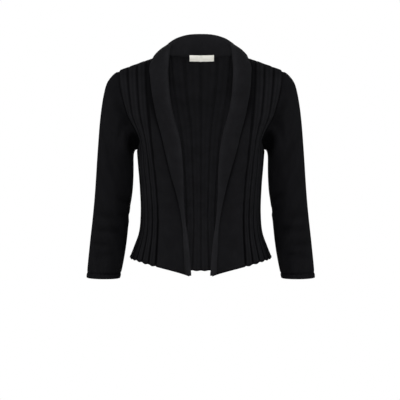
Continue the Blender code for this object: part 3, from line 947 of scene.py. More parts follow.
def lapel_value(name: str, height: float) -> float:
    """Value of a lapel's table column at a height of its seam, held at both ends.

    Args:
        name: the column.
        height: the height.

    Returns:
        The value.
    """
    heights = [row.seam_z for row in LAPEL_ROWS]
    held = min(max(height, heights[0]), heights[-1])
    return spline(heights, [getattr(row, name) for row in LAPEL_ROWS], held)


# A seam's pinch has this share over the shoulder and grows to a whole one below it
SHOULDER_PINCH = 0.25
PINCH_GROWTH = Ramp(-38.0, -40.0)


def pinch_share(gap: float, height: float) -> float:
    """Share of the depth to which a seam pulls cloth in, at a gap of 0 to 1 from it and a height."""
    return max(0.0, 1.0 - gap) ** 2 * at_least(SHOULDER_PINCH, PINCH_GROWTH.at(height))


@dataclass
class RibbedPanel:
    """A knitted panel: its form, its ribs on both faces, its hem and the pinch of its seams.

    Places across a rib are shares of its width. Ramps called a start go by the distance from the
    hem or the seam, and the other ramps by the height above the neck base.
    """

    form: PanelForm
    sheet: float = 2.1
    # How much of the painted shade the inside takes, and how much brighter the inside is painted
    inside_shade: float = 0.35
    inside_painted_light: float = 1.57

    # The ribs' grooves and crowns outside, the fine line in their middle and their other side inside,
    # with painted shade in the grooves and the fine line and a painted highlight on the crowns
    groove: float = 2.4
    groove_reach: float = 0.21
    groove_shade: float = 0.77
    crown: float = 0.6
    crown_highlight: float = 0.2
    crown_lit: Ramp = Ramp(0.12, 0.14)
    half_line: float = 0.0
    half_reach: float = 0.1
    half_shade: float = 0.35
    ridge: float = 1.1
    ridge_reach: float = 0.1
    valley: float = 0.45
    valley_place: float = 0.16
    valley_width: float = 0.06
    rib_start: Ramp = Ramp(0.5, 4.0)
    rib_left_at_hem: float = 0.4

    # The pinch of the seams, and the creases between them, both with painted shade
    pinch: float = 1.3
    pinch_reach: float = 4.4
    pinch_inside: float = 0.5
    pinch_shade: float = 0.75
    crease_start: Ramp = Ramp(0.0, 25.0)
    crease_shade: float = 0.07

    # The hem's roll, the groove above it and its scallops, with painted shade in that groove and, growing
    # towards the hem, in the ribs' grooves
    hem_roll: float = 3.2
    hem_bulge: float = 0.7
    hem_groove: float = 0.9
    hem_groove_width: float = 0.8
    hem_shade: float = 0.4
    hem_shade_width: float = 0.9
    hem_rib_shade: float = 0.36
    hem_rib_shade_growth: Ramp = Ramp(-300.0, -150.0)
    scallop: float = 1.3
    scallop_reach: float = 14.0

    # The wide groove beside the plain strip, and the painted shade on the strip where it is narrow
    first_groove: float = 1.7
    first_floor: float = 2.0
    first_narrow: float = 0.35
    first_widening: Ramp = Ramp(-330.0, 180.0)
    first_reach: float = 3.8
    first_start: Ramp = Ramp(0.5, 10.0)
    narrow_shade: float = 0.6
    narrow_strip: float = 21.0
    narrow_reach: float = 9.0

    # The trough that the lapel's edge presses, and the painted shade beside it
    lapel_trough: float = 1.8
    lapel_reach: float = 3.8
    lapel_hidden: float = 1.2
    lapel_spread: float = 2.2
    lapel_spreading: Ramp = Ramp(-190.0, 90.0)
    lapel_low: float = 0.15
    lapel_rise: Ramp = Ramp(-400.0, 110.0)
    lapel_gloom: float = 0.22
    gloom_reach: float = 17.0
    gloom_rise: Ramp = Ramp(-440.0, 120.0)

    def shell(self, creases: Sequence[Crease], mirror_x: float = 1.0) -> Shell:
        """The panel's wall.

        Args:
            creases: its soft creases, on the chart of x and z.
            mirror_x: -1 to read the creases' x the other way round.

        Returns:
            The shell of this half.
        """
        form = self.form
        normals = grid_normals(form.skin, -form.facing.value)
        gaps = self.edge_gaps()
        outer: Grid = {}
        inner: Grid = {}
        painted_shading: dict[Key, float] = {}
        for key, point in form.skin.items():
            normal = self.edge_normal(key, normals[key])
            gap = gaps[key]
            ribbing = form.columns[key[0]]
            pinched = pinch_share(gap.seam / self.pinch_reach, point.z)
            hem = self.hem_profile(gap.hem)
            fall = self.fall_of_groove(ribbing)
            first = self.first_fall(gap.first, point.z) * self.first_start.at(gap.hem)
            tucked = self.tuck(gap.lapel, point.z)
            wave = sum(crease.height(point.x * mirror_x, point.z) for crease in creases)
            wave *= self.crease_start.at(gap.seam)
            ribs_left = self.rib_start.at(gap.hem)
            above = self.crown * math.sin(math.pi * ribbing.phase) if ribbing.rib is not None else 0.0
            above -= max(self.groove * fall, self.first_groove * first)
            above -= self.half_line * self.half_fall(ribbing)
            over = above * at_least(self.rib_left_at_hem, ribs_left) - self.pinch * pinched + hem
            under = self.under_side(ribbing) * ribs_left - self.pinch_inside * self.pinch * pinched + hem
            sway = -self.scallop * self.scallop_wave(ribbing) * math.exp(-gap.hem / self.scallop_reach)
            base = point + Vector((0.0, 0.0, sway)) + normal * (wave - self.lapel_trough * tucked)
            outer[key] = base + normal * over
            inner[key] = base - normal * (self.sheet + under)
            # Painted shade in the grooves, seams, creases, hem and beside the lapel, and a painted
            # highlight on the ribs' crowns
            shade = self.shade(ribbing, gap, point.z, max(fall, first, tucked))
            shade += self.pinch_shade * pinched
            lit = self.crown_highlight * (1.0 - shade) * self.crown_light(ribbing)
            painted_shading[key] = max(0.0, 1.0 + lit - shade - max(0.0, -self.crease_shade * wave))
        return Shell(outer, inner, self.knit_chart(), painted_shading, inside_shade=self.inside_shade,
                     inside_painted_light=self.inside_painted_light)

    def shade(self, column: Column, gap: Gaps, height: float, fall: float) -> float:
        """How much painted shade a place takes for its groove, the lapel over it and the hem's groove.

        Args:
            column: its column.
            gap: its distances from the lines.
            height: height above the neck base.
            fall: share of the deepest groove's depth.

        Returns:
            The shade, 0 for none.
        """
        low = self.hem_rib_shade * self.hem_rib_shade_growth.at(height)
        shade = (self.groove_shade + low) * fall + self.half_shade * self.half_fall(column)
        shade += self.hem_shade * bell(gap.hem - self.hem_roll, self.hem_shade_width)
        if gap.lapel == math.inf:
            return shade
        past_lapel = max(0.0, gap.lapel)
        gloom = bell(past_lapel, self.gloom_reach) * (1.0 - fall)
        shade += self.lapel_gloom * gloom * self.gloom_rise.at(height)
        narrow = smooth((self.narrow_strip - gap.first - past_lapel) / self.narrow_reach)
        return shade + self.narrow_shade * narrow * (1.0 - fall)

    def crown_light(self, column: Column) -> float:
        """Share of the painted highlight on the raised middle of a rib."""
        return 0.0 if column.rib is None else self.crown_lit.at(column.groove_gap)

    def scallop_wave(self, column: Column) -> float:
        """How far down the hem hangs at a column, from -1 in a groove to 1 on a rib."""
        return 0.0 if column.rib is None else -math.cos(2.0 * math.pi * column.phase)

    def fall_of_groove(self, column: Column) -> float:
        """Share of the groove's depth at a column."""
        return 0.0 if column.rib is None else 1.0 - smooth(column.groove_gap / self.groove_reach)

    def half_fall(self, column: Column) -> float:
        """Share of the fine line's depth in the middle of a rib."""
        return 0.0 if column.rib is None else 1.0 - smooth((0.5 - column.groove_gap) / self.half_reach)

    def first_fall(self, gap: float, height: float) -> float:
        """Share of the wide groove's depth at a gap from its middle and a height. It narrows down."""
        floor = self.first_floor * at_least(self.first_narrow, self.first_widening.at(height))
        return 1.0 - smooth((gap - floor) / self.first_reach)

    def tuck(self, gap: float, height: float) -> float:
        """Share of the trough along the lapel's free edge, where the fall presses the cloth back.

        Args:
            gap: distance out from the lapel's edge.
            height: height above the neck base.

        Returns:
            The share.
        """
        if gap == math.inf:
            return 0.0
        along = at_least(self.lapel_low, self.lapel_rise.at(height))
        reach = self.lapel_reach * (1.0 + self.lapel_spread * self.lapel_spreading.at(height))
        return along * bell(max(0.0, gap - self.lapel_hidden), reach)

    def under_side(self, column: Column) -> float:
        """Height of the wall's inside over plain cloth: a ridge under each groove, with valleys by it.

        Args:
            column: the column.

        Returns:
            The height, 0 in the plain strip.
        """
        if column.rib is None:
            return 0.0
        ridge = 1.0 - smooth(column.groove_gap / self.ridge_reach)
        valley = bell(column.groove_gap - self.valley_place, self.valley_width)
        return self.ridge * ridge - self.valley * valley - self.half_line * self.half_fall(column)

    def hem_profile(self, gap: float) -> float:
        """Height of both faces near the free edge: a small roll with a groove above it.

        Args:
            gap: distance from the edge.

        Returns:
            The height, below zero in the groove.
        """
        if gap > self.hem_roll:
            return -self.hem_groove * bell(gap - self.hem_roll, self.hem_groove_width)
        half = self.hem_roll / 2.0
        roll = math.sqrt(max(0.0, 1.0 - ((gap - half) / half) ** 2))
        return (self.hem_bulge + self.hem_groove) * roll - self.hem_groove

    def edge_gaps(self) -> dict[Key, Gaps]:
        """Distances of each grid point from the lines that shape its ribs and its painted shade.

        Returns:
            The gaps at each key.
        """
        form = self.form
        gaps: dict[Key, Gaps] = {}
        first = next(index for index, column in enumerate(form.columns) if column.rib is not None)
        for column in range(form.side + 1):
            lengths = form.column_lengths(column)
            for row, length in enumerate(lengths):
                gaps[column, row] = Gaps(length, lengths[-1] - length)
        for row in range(form.top_row + 1):
            lengths = form.row_lengths(row)
            reach = lapel_value("reach", form.skin[0, row].z)
            for column, length in enumerate(lengths):
                gap = gaps[column, row]
                gap.seam = min(gap.seam, lengths[-1] - length)
                if form.plain:
                    gap.seam = min(gap.seam, length)
                    gap.first = abs(length - lengths[first])
                    gap.lapel = length - reach
        return gaps

    def edge_normal(self, key: Key, normal: Vector) -> Vector:
        """The normal, kept square to the side seam and the shoulder seam.

        Args:
            key: the place.
            normal: the grid's own normal there.

        Returns:
            The normal to use.
        """
        column, row = key
        form = self.form
        if column == form.side or (row == form.top_row and column >= form.neck - 1):
            return Vector((normal.x, 0.0, normal.z)).normalized()
        return normal

    def knit_chart(self) -> Chart:
        """Flat place of each grid point, with the wales along the ribs.

        Returns:
            The chart.
        """
        form = self.form
        across = form.row_lengths(form.stops.index(WAIST_STOP))
        up = form.column_lengths(form.corner)
        return {(column, row): (across[column], up[row]) for column, row in form.skin}

    def flat_size(self) -> tuple[float, float, float]:
        """Size of the flat cut in metres, without the ribs' own depth.

        Returns:
            Width, length and area.
        """
        form = self.form
        widest = max(form.row_lengths(row)[-1] for row in range(form.top_row + 1))
        longest = max(form.column_lengths(column)[-1] for column in range(form.side + 1))
        return widest * MM, longest * MM, grid_area(form.skin)


def whole_back(half: Shell, other: Shell) -> Shell:
    """Join two halves of the back, with columns numbered from the middle both ways.

    Args:
        half: the wearer's left half.
        other: the shell of the right half, before mirroring.

    Returns:
        The whole back.
    """
    whole = Shell(dict(half.outer), dict(half.inner), dict(half.chart), dict(half.painted_shading),
                  inside_shade=half.inside_shade, inside_painted_light=half.inside_painted_light)
    for (column, row), point in other.outer.items():
        if column == 0:
            whole.outer[0, row] = (half.outer[0, row] + point * FLIP) / 2.0
            whole.inner[0, row] = (half.inner[0, row] + other.inner[0, row] * FLIP) / 2.0
            continue
        whole.outer[-column, row] = point * FLIP
        whole.inner[-column, row] = other.inner[column, row] * FLIP
        across, up = other.chart[column, row]
        whole.chart[-column, row] = (-across, up)
        whole.painted_shading[-column, row] = other.painted_shading[column, row]
    return whole


@dataclass
class Body:
    """What a collar half and a sleeve are sewn to on one side, shaped as on the wearer's left."""

    side: Side
    front: PanelForm
    front_wall: Shell
    back: PanelForm
    back_wall: Shell


@dataclass
class Station:
    """One cross-section of the collar: its seam's two rim points, the section and its outer parts."""

    rim: Rim
    section: list[Vector]
    crest: Vector
    edge: Vector


STAND_SHARES = (0.0, 0.05, 0.14, 0.28, 0.48, 0.74)
FALL_SHARES = (0.0, 0.16, 0.32, 0.47, 0.6, 0.71, 0.8, 0.87, 0.925, 0.96, 0.985, 1.0)
ROLL_STEPS = 10

# Length of the collar from the neck point to the middle of the back, for its ripples
NECK_RUN = 130.0
RIPPLE_SHIFT = {Side.LEFT: 0.0, Side.RIGHT: 1.9}


@dataclass
class ShawlCollar:
    """The rolled shawl collar: it runs up both fronts and round the neck in one piece.

    The ripple starts at a length along the collar. The other ramps go by height above the neck base.
    """

    wall: float = 2.8
    edge_radius: float = 1.7
    edge_wall: float = 0.12
    tip_lift: float = 4.6
    tip_reach: float = 15.0

    # The fall springs off the front between two heights, and ripples along its length
    spring: float = 4.0
    spring_rise: Ramp = Ramp(-400.0, 120.0)
    spring_end: Ramp = Ramp(-15.0, -60.0)
    ripple: float = 1.3
    ripple_start: Ramp = Ramp(120.0, 120.0)
    long_ripple: float = 43.0
    short_ripple: float = 23.0
    short_share: float = 0.6
    short_start: float = 0.8
    short_shift: float = 2.1
    ripple_out: float = 0.7
    ripple_lift: float = 0.6
    ripple_bow: float = 0.5

    # The seam is pressed thinner, and both ends have a small roll with a groove above it, both with
    # painted shade
    seam_reach: float = 3.0
    seam_thinning: float = 0.45
    seam_shade: float = 0.4
    end_roll: float = 2.6
    end_width: float = 0.8
    end_groove: float = 0.5
    end_groove_inside: float = 0.3
    end_shade: float = 0.5

    # Painted light on the roll, all round the neck and near the hem
    roll_highlight: float = 0.42
    roll_reach: float = 7.5
    neck_painted_light: float = 0.32
    neck_rise: Ramp = Ramp(-90.0, 90.0)
    hem_painted_light: float = 0.3
    hem_fall: Ramp = Ramp(-300.0, -100.0)

    def section(self, seam: Vector, crest: Vector, edge: Vector, roll: float, bow: float,
                away: Vector) -> list[Vector]:
        """Middle line of the collar's wall: up the stand, round the roll and down the fall.

        Args:
            seam: middle of the seam.
            crest: top of the roll.
            edge: free edge.
            roll: radius of the roll.
            bow: how far the fall bows out.
            away: direction from the stand to the fall.

        Returns:
            The line's points.
        """
        inwards = ((seam + edge) / 2.0 - crest).normalized()
        across = (away - inwards * away.dot(inwards)).normalized()
        centre = crest + inwards * roll
        stand_end = centre - across * roll
        fall_start = centre + across * roll
        points = [seam.lerp(stand_end, share) for share in STAND_SHARES]
        for step in range(ROLL_STEPS):
            angle = math.pi * step / ROLL_STEPS
            out = across * (roll * math.cos(angle)) + inwards * (roll * math.sin(angle))
            points.append(centre - out)
        for share in FALL_SHARES:
            points.append(fall_start.lerp(edge, share) + across * (bow * math.sin(math.pi * share)))
        return points

    def half(self, body: Body) -> list[Station]:
        """Stations from the hem to the middle of the back, on the wearer's left.

        Args:
            body: the front and the back whose edges carry the collar.

        Returns:
            The stations.
        """
        front, back = body.front, body.back
        fields = ("stand", "rise", "reach", "lift", "roll", "bow")
        normals = grid_normals(front.skin, 1.0)
        run = front.column_lengths(0)
        stations = []
        for row in range(front.top_row + 1):
            height = front.skin[0, row].z
            stand, rise, reach, lift, roll, bow = (lapel_value(name, height) for name in fields)
            lift += self.spring * self.spring_rise.at(height) * self.spring_end.at(height)
            towards = (front.skin[0, row] - front.skin[1, row]).normalized()
            normal = normals[0, row]
            rim = body.front_wall.rim((0, row))
            if row == front.top_row:
                rim = body.back_wall.rim((back.neck, back.top_row))
            seam = (rim[0] + rim[1]) / 2.0
            slant = math.radians(rise)
            crest = seam + towards * (stand * math.cos(slant))
            crest += normal * (stand * math.sin(slant) + roll)
            crest.z += self.tip_lift * (1.0 - smooth(run[row] / self.tip_reach))
            wave = self.wave(run[row], body.side)
            edge = front.along_row(row, reach + self.ripple_out * wave)
            edge += normal * (lift + self.ripple_lift * wave)
            section = self.section(seam, crest, edge, roll, bow + self.ripple_bow * wave, normal)
            stations.append(Station(rim, section, crest, edge))
        return stations + self.neck_half(stations[-1], body, run[-1])

    def neck_half(self, start: Station, body: Body, run: float) -> list[Station]:
        """Stations behind the neck, from past the neck point to the middle of the back.

        Args:
            start: the station at the neck point.
            body: the front and the back whose edges carry the collar.
            run: length of the collar up to the neck point.

        Returns:
            The stations.
        """
        shares = [0.0] + [row.share for row in NECK_ROWS]
        crests = [start.crest] + [Vector(row.crest) for row in NECK_ROWS]
        edges = [start.edge] + [Vector(row.edge) for row in NECK_ROWS]
        stations = []
        for column in range(body.back.neck - 1, -1, -1):
            key = (column, body.back.top_row)
            share = 1.0 - math.asin(body.back.skin[key].x / NECK_POINT.x) / (math.pi / 2.0)
            rim = body.back_wall.rim(key)
            seam = (rim[0] + rim[1]) / 2.0
            crest = spline(shares, crests, share)
            wave = self.wave(run + share * NECK_RUN, body.side) * (1.0 - share)
            edge = spline(shares, edges, share) + Vector((0.0, 0.0, wave))
            away = (edge - seam) * Vector((1.0, 1.0, 0.0))
            bow = LAPEL_ROWS[-1].bow + self.ripple_bow * wave
            section = self.section(seam, crest, edge, LAPEL_ROWS[-1].roll, bow, away)
            stations.append(Station(rim, section, crest, edge))
        return stations

    def wave(self, run: float, side: Side) -> float:
        """Uneven ripple along the collar, none at the hem.

        Args:
            run: length along the collar from the hem.
            side: which side's ripples to use.

        Returns:
            How far the fall is moved.
        """
        shift = RIPPLE_SHIFT[side]
        short = math.sin(run / self.short_ripple + self.short_shift * shift + self.short_start)
        wave = math.sin(run / self.long_ripple + shift) + self.short_share * short
        return self.ripple * wave * self.ripple_start.at(run) / (1.0 + self.short_share)

    def shell(self, left: list[Station], right: list[Station]) -> Shell:
        """The whole collar's wall.

        Args:
            left: stations of the left half.
            right: stations of the right half, before mirroring.

        Returns:
            The shell.
        """
        whole = [(station.rim, station.section) for station in left]
        for station in reversed(right[:-1]):
            rim = (station.rim[0] * FLIP, station.rim[1] * FLIP)
            whole.append((rim, [point * FLIP for point in station.section]))
        middle = {
            (column, row): point
            for row, (rim, section) in enumerate(whole)
            for column, point in enumerate(section)
        }
        normals = grid_normals(middle, 1.0)
        first_rim = whole[0][0]
        turn = 1.0 if normals[1, 0].dot(first_rim[1] - first_rim[0]) > 0.0 else -1.0
        crest_column = len(STAND_SHARES) + ROLL_STEPS // 2
        along = running_lengths([section[crest_column] for rim, section in whole])
        shell = Shell()
        for row, (rim, section) in enumerate(whole):
            across = running_lengths(section)
            end_gap = min(along[row], along[-1] - along[row])
            height = section[crest_column].z
            # Painted light round the neck and near the hem
            painted_light = self.neck_painted_light * self.neck_rise.at(height) + self.hem_painted_light * self.hem_fall.at(height)
            groove = bell(end_gap - self.end_roll, self.end_width)
            for column, point in enumerate(section):
                key = (column, row)
                free = self.rounding(across[-1] - across[column]) * self.rounding(end_gap)
                near_seam = max(0.0, 1.0 - across[column] / self.seam_reach) ** 2
                half = self.wall / 2.0 * free * (1.0 - self.seam_thinning * near_seam)
                normal = normals[key] * turn
                shell.outer[key] = point + normal * (half - self.end_groove * groove)
                shell.inner[key] = point - normal * (half - self.end_groove_inside * groove)
                shell.chart[key] = (across[column], along[row])
                # Painted highlight along the roll; painted shade in the end grooves and along the seam
                past_roll = across[column] - across[crest_column] - self.roll_reach / 3.0
                lit = painted_light + self.roll_highlight * bell(past_roll, self.roll_reach)
                shell.painted_shading[key] = 1.0 + lit - self.end_shade * groove - self.seam_shade * near_seam
            shell.inner[0, row], shell.outer[0, row] = rim
        return shell

    def rounding(self, gap: float) -> float:
        """Share of the wall's thickness left at a distance from its free edge."""
        inward = 1.0 - min(gap, self.edge_radius) / self.edge_radius
        return at_least(self.edge_wall, math.sqrt(1.0 - inward * inward))


RING_STOPS = (0.0, 0.04, 0.1, 0.19, 0.3, 0.45, 0.65, 0.85)
RINGS_PER_ROW = 4
CUFF_STOPS = (
    0.0, 0.2, 0.4, 0.6, 0.64, 0.67, 0.71, 0.76, 0.81, 0.86, 0.9, 0.93, 0.955, 0.975, 0.99, 1.0
)


@dataclass
class Sleeve:
    """A three-quarter sleeve from the armhole's own form to plain oval rings, with a narrow welt.

    The creases' ramps go by the distance from the seam and from the sleeve's end, the inner ones by
    the angle in degrees, and those called growth by the height above the neck base.
    """

    side: Side
    sheet: float = 2.0
    pinch: float = 1.4
    pinch_reach: float = 4.4
    pinch_thinning: float = 0.6
    crease_start: Ramp = Ramp(0.0, 18.0)
    crease_end: Ramp = Ramp(8.0, 25.0)
    underarm_dip: float = 0.7
    underarm_width: float = 2.2

    # The welt's bulge, the groove above it, the fine line in it and its rounded end
    welt: float = 11.5
    welt_bulge: float = 0.7
    welt_flatness: float = 0.4
    welt_groove: float = 1.4
    welt_groove_width: float = 0.9
    welt_line: float = 0.6
    welt_line_below: float = 2.6
    welt_line_width: float = 0.6
    end_radius: float = 1.4
    end_drop: float = 0.45
    end_thinning: float = 0.85

    # Painted shade: how much darker the armpit, the seam, the side towards the body, grooves and creases
    # are
    armpit_shade: float = 0.95
    armpit_reach: float = 27.0
    armpit_power: int = 3
    seam_shade: float = 0.5
    seam_reach: float = 4.5
    seam_growth: Ramp = Ramp(-60.0, -60.0)
    inner_shade: float = 0.4
    inner_start: Ramp = Ramp(80.0, 60.0)
    inner_end: Ramp = Ramp(280.0, -60.0)
    inner_high: float = 0.35
    inner_growth: Ramp = Ramp(-300.0, -100.0)
    groove_shade: float = 0.4
    crease_shade: float = 0.15

    # Width, length and area of the flat cut in metres, known once the shell is made
    flat: tuple[float, float, float] = (0.0, 0.0, 0.0)

    def rims(self, body: Body) -> tuple[list[Rim], int]:
        """Rims round the left armhole from the shoulder tip, down the front and up the back.

        Args:
            body: the front and the back with the armhole.

        Returns:
            The rims, and which one is at the underarm.
        """
        front, back = body.front, body.back
        front_keys = [(front.corner, row) for row in range(front.top_row, front.arm_row - 1, -1)]
        front_keys += [(column, front.arm_row) for column in range(front.corner + 1, front.side + 1)]
        back_keys = [(column, back.arm_row) for column in range(back.side - 1, back.corner, -1)]
        back_keys += [(back.corner, row) for row in range(back.arm_row, back.top_row)]
        rims = [body.front_wall.rim(key) for key in front_keys]
        rims += [body.back_wall.rim(key) for key in back_keys]
        return rims, len(front_keys) - 1

    def angles(self, rims: list[Rim], underarm: int) -> list[float]:
        """Angle of each armhole point round the sleeve, half a turn at the underarm.

        Args:
            rims: the armhole's rims.
            underarm: which one is at the underarm.

        Returns:
            The angles.
        """
        points = [rim[1] for rim in rims] + [rims[0][1]]
        lengths = running_lengths(points)
        half = lengths[underarm]
        rest = lengths[-1] - half
        return [
            math.pi * (length / half if length <= half else 1.0 + (length - half) / rest)
            for length in lengths[:-1]
        ]

    def ring_point(self, row: SleeveRow, angle: float) -> Vector:
        """Point of a plain oval ring through its outer and inner points.

        Args:
            row: the ring's row.
            angle: angle round the sleeve.

        Returns:
            The point.
        """
        outer = Vector((row.outer_x, row.mid_y, row.outer_z))
        inner = Vector((row.inner_x, row.mid_y, row.inner_z))
        out = (outer - inner) / 2.0 * math.cos(angle)
        return (outer + inner) / 2.0 + out - Vector((0.0, row.half_depth * math.sin(angle), 0.0))

    def shell(self, rims: list[Rim], underarm: int) -> Shell:
        """The sleeve's wall, on the wearer's left.

        Args:
            rims: the armhole's rims.
            underarm: which one is at the underarm.

        Returns:
            The shell.
        """
        angles = self.angles(rims, underarm)
        low = rims[underarm][1]
        armhole = SleeveRow(
            SHOULDER_TIP.x, SHOULDER_TIP.z, low.x, low.z, 0.0, SLEEVE_ROWS[0].half_depth, 1.0
        )
        last = len(SLEEVE_ROWS)
        stops = list(RING_STOPS)
        stops += [1.0 + step / RINGS_PER_ROW for step in range(RINGS_PER_ROW * (last - 2))]
        stops += [last - 1 + share for share in CUFF_STOPS]
        knots = list(range(last + 1))
        skin: Grid = {}
        for column, angle in enumerate(angles):
            own_form = rims[column][1] - self.ring_point(armhole, angle)
            values = [rims[column][1]]
            values += [self.ring_point(row, angle) + own_form * row.keep for row in SLEEVE_ROWS]
            for ring, stop in enumerate(stops):
                skin[column, ring] = spline(knots, values, stop)
        count = len(angles)
        wrapped = dict(skin)
        for ring in range(len(stops)):
            wrapped[-1, ring] = skin[count - 1, ring]
            wrapped[count, ring] = skin[0, ring]
        normals = grid_normals(wrapped, 1.0)
        girth = self.girths(skin, count, len(stops) // 2)
        shell = Shell(closed=True, wrap=girth[-1])
        self.flat = (
            max(self.girths(skin, count, ring)[-1] for ring in range(len(stops))) * MM,
            running_lengths([skin[0, ring] for ring in range(len(stops))])[-1] * MM,
            grid_area(wrapped) * count / (count + 1),
        )
        for column in range(count):
            lengths = running_lengths([skin[column, ring] for ring in range(len(stops))])
            degrees = math.degrees(angles[column])
            for ring, down in enumerate(lengths):
                key = (column, ring)
                spot = skin[key]
                to_end = lengths[-1] - down
                lift, thick = self.profile(down, to_end, degrees, spot.z)
                wave = sum(c.height(degrees, spot.z) for c in SLEEVE_CREASES[self.side])
                wave *= self.crease_start.at(down) * self.crease_end.at(to_end)
                outside = spot + normals[key] * (lift + wave)
                shell.outer[key] = outside
                shell.inner[key] = outside - normals[key] * thick
                shell.chart[key] = (girth[column], -down)
                # Painted shade on the side towards the body, in the armpit, along the seam, in creases,
                # in the seam's pinch and in the welt's groove
                dark = self.shade(degrees, down, spot.z) - min(0.0, wave) * self.crease_shade
                shell.painted_shading[key] = max(0.0, 1.0 + min(0.0, lift) * self.groove_shade - dark)
            shell.inner[column, 0], shell.outer[column, 0] = rims[column]
        return shell

    def shade(self, degrees: float, down: float, height: float) -> float:
        """How much painted shade darkens the side towards the body, most of all in the armpit.

        Args:
            degrees: angle round the sleeve, 180 at the underarm.
            down: distance from the armhole's seam.
            height: height above the neck base.

        Returns:
            The shade, 0 for none.
        """
        facing_body = 0.5 - 0.5 * math.cos(math.radians(degrees))
        armpit = self.armpit_shade * facing_body**self.armpit_power * bell(down, self.armpit_reach)
        inner = self.inner_start.at(degrees) * self.inner_end.at(degrees)
        seam = self.seam_shade * bell(down, self.seam_reach)
        shade = armpit + seam * self.seam_growth.at(height)
        return shade + self.inner_shade * inner * at_least(self.inner_high, self.inner_growth.at(height))

    def girths(self, skin: Grid, count: int, ring: int) -> list[float]:
        """Lengths round one ring up to each column, and all the way back to the first."""
        return running_lengths([skin[column % count, ring] for column in range(count + 1)])

    def profile(self, down: float, to_end: float, degrees: float, height: float) -> tuple[float, float]:
        """Height of the outside over the form, and the wall's thickness.

        Args:
            down: distance from the armhole's seam.
            to_end: distance from the sleeve's end.
            degrees: angle round the sleeve, 180 at the underarm.
            height: height above the neck base.

        Returns:
            The height and the thickness.
        """
        pinched = pinch_share(down / self.pinch_reach, height)
        lift = -self.pinch * pinched
        thick = self.sheet - self.pinch_thinning * pinched
        lift -= self.underarm_dip * bell(degrees - 180.0, self.underarm_width)
        lift -= self.welt_groove * bell(to_end - self.welt, self.welt_groove_width)
        lift -= self.welt_line * bell(to_end - self.welt + self.welt_line_below, self.welt_line_width)
        if to_end < self.welt:
            middle = 1.0 - (2.0 * to_end / self.welt - 1.0) ** 2
            lift += self.welt_bulge * at_least(self.welt_flatness, middle)
            inward = 1.0 - min(to_end, self.end_radius) / self.end_radius
            round_off = 1.0 - math.sqrt(1.0 - inward * inward)
            lift -= self.end_drop * self.sheet * round_off
            thick -= self.end_thinning * self.sheet * round_off
        return lift, thick


@dataclass
class SeamAllowance:
    """The overlocked edge of a seam, pressed flat on the inside of one of the pieces it joins."""

    width: float = 6.0
    thickness: float = 1.1
    clearance: float = 0.15
    edge_share: float = 0.45
    rows_free_at_hem: int = 2

    def shell(self, host: Shell, lines: Sequence[Sequence[Key]], closed: bool = False) -> Shell:
        """A strip along a seam, on its host's inside.

        Args:
            host: the wall that it lies on.
            lines: one line of the host's keys for each place along the seam, away from the seam,
                all cut to the shortest of them.
            closed: whether the seam runs all round.

        Returns:
            The shell of the strip.
        """
        strip = Shell(closed=closed)
        last = min(len(line) for line in lines) - 1
        along = running_lengths([host.inner[line[0]] for line in lines])
        for column, line in enumerate(lines):
            across = 0.0
            before = host.inner[line[0]]
            for row, key in enumerate(line[: last + 1]):
                spot = host.inner[key]
                inward = (spot - host.outer[key]).normalized()
                across += (spot - before).length
                before = spot
                bulge = self.thickness * (self.edge_share if row in (0, last) else 1.0)
                strip.inner[column, row] = spot + inward * self.clearance
                strip.outer[column, row] = spot + inward * (self.clearance + bulge)
                strip.chart[column, row] = (across, along[column])
        return strip

    def reach(self, host: Grid, start: Key, step: Key) -> list[Key]:
        """Keys of a host's grid from the seam on, as far as the allowance is wide.

        Args:
            host: the host's grid.
            start: the key on the seam.
            step: which way the allowance lies.

        Returns:
            The keys.
        """
        keys = [start]
        run = 0.0
        while run < self.width:
            key = (keys[-1][0] + step[0], keys[-1][1] + step[1])
            if key not in host:
                break
            run += (host[key] - host[keys[-1]]).length
            keys.append(key)
        return keys


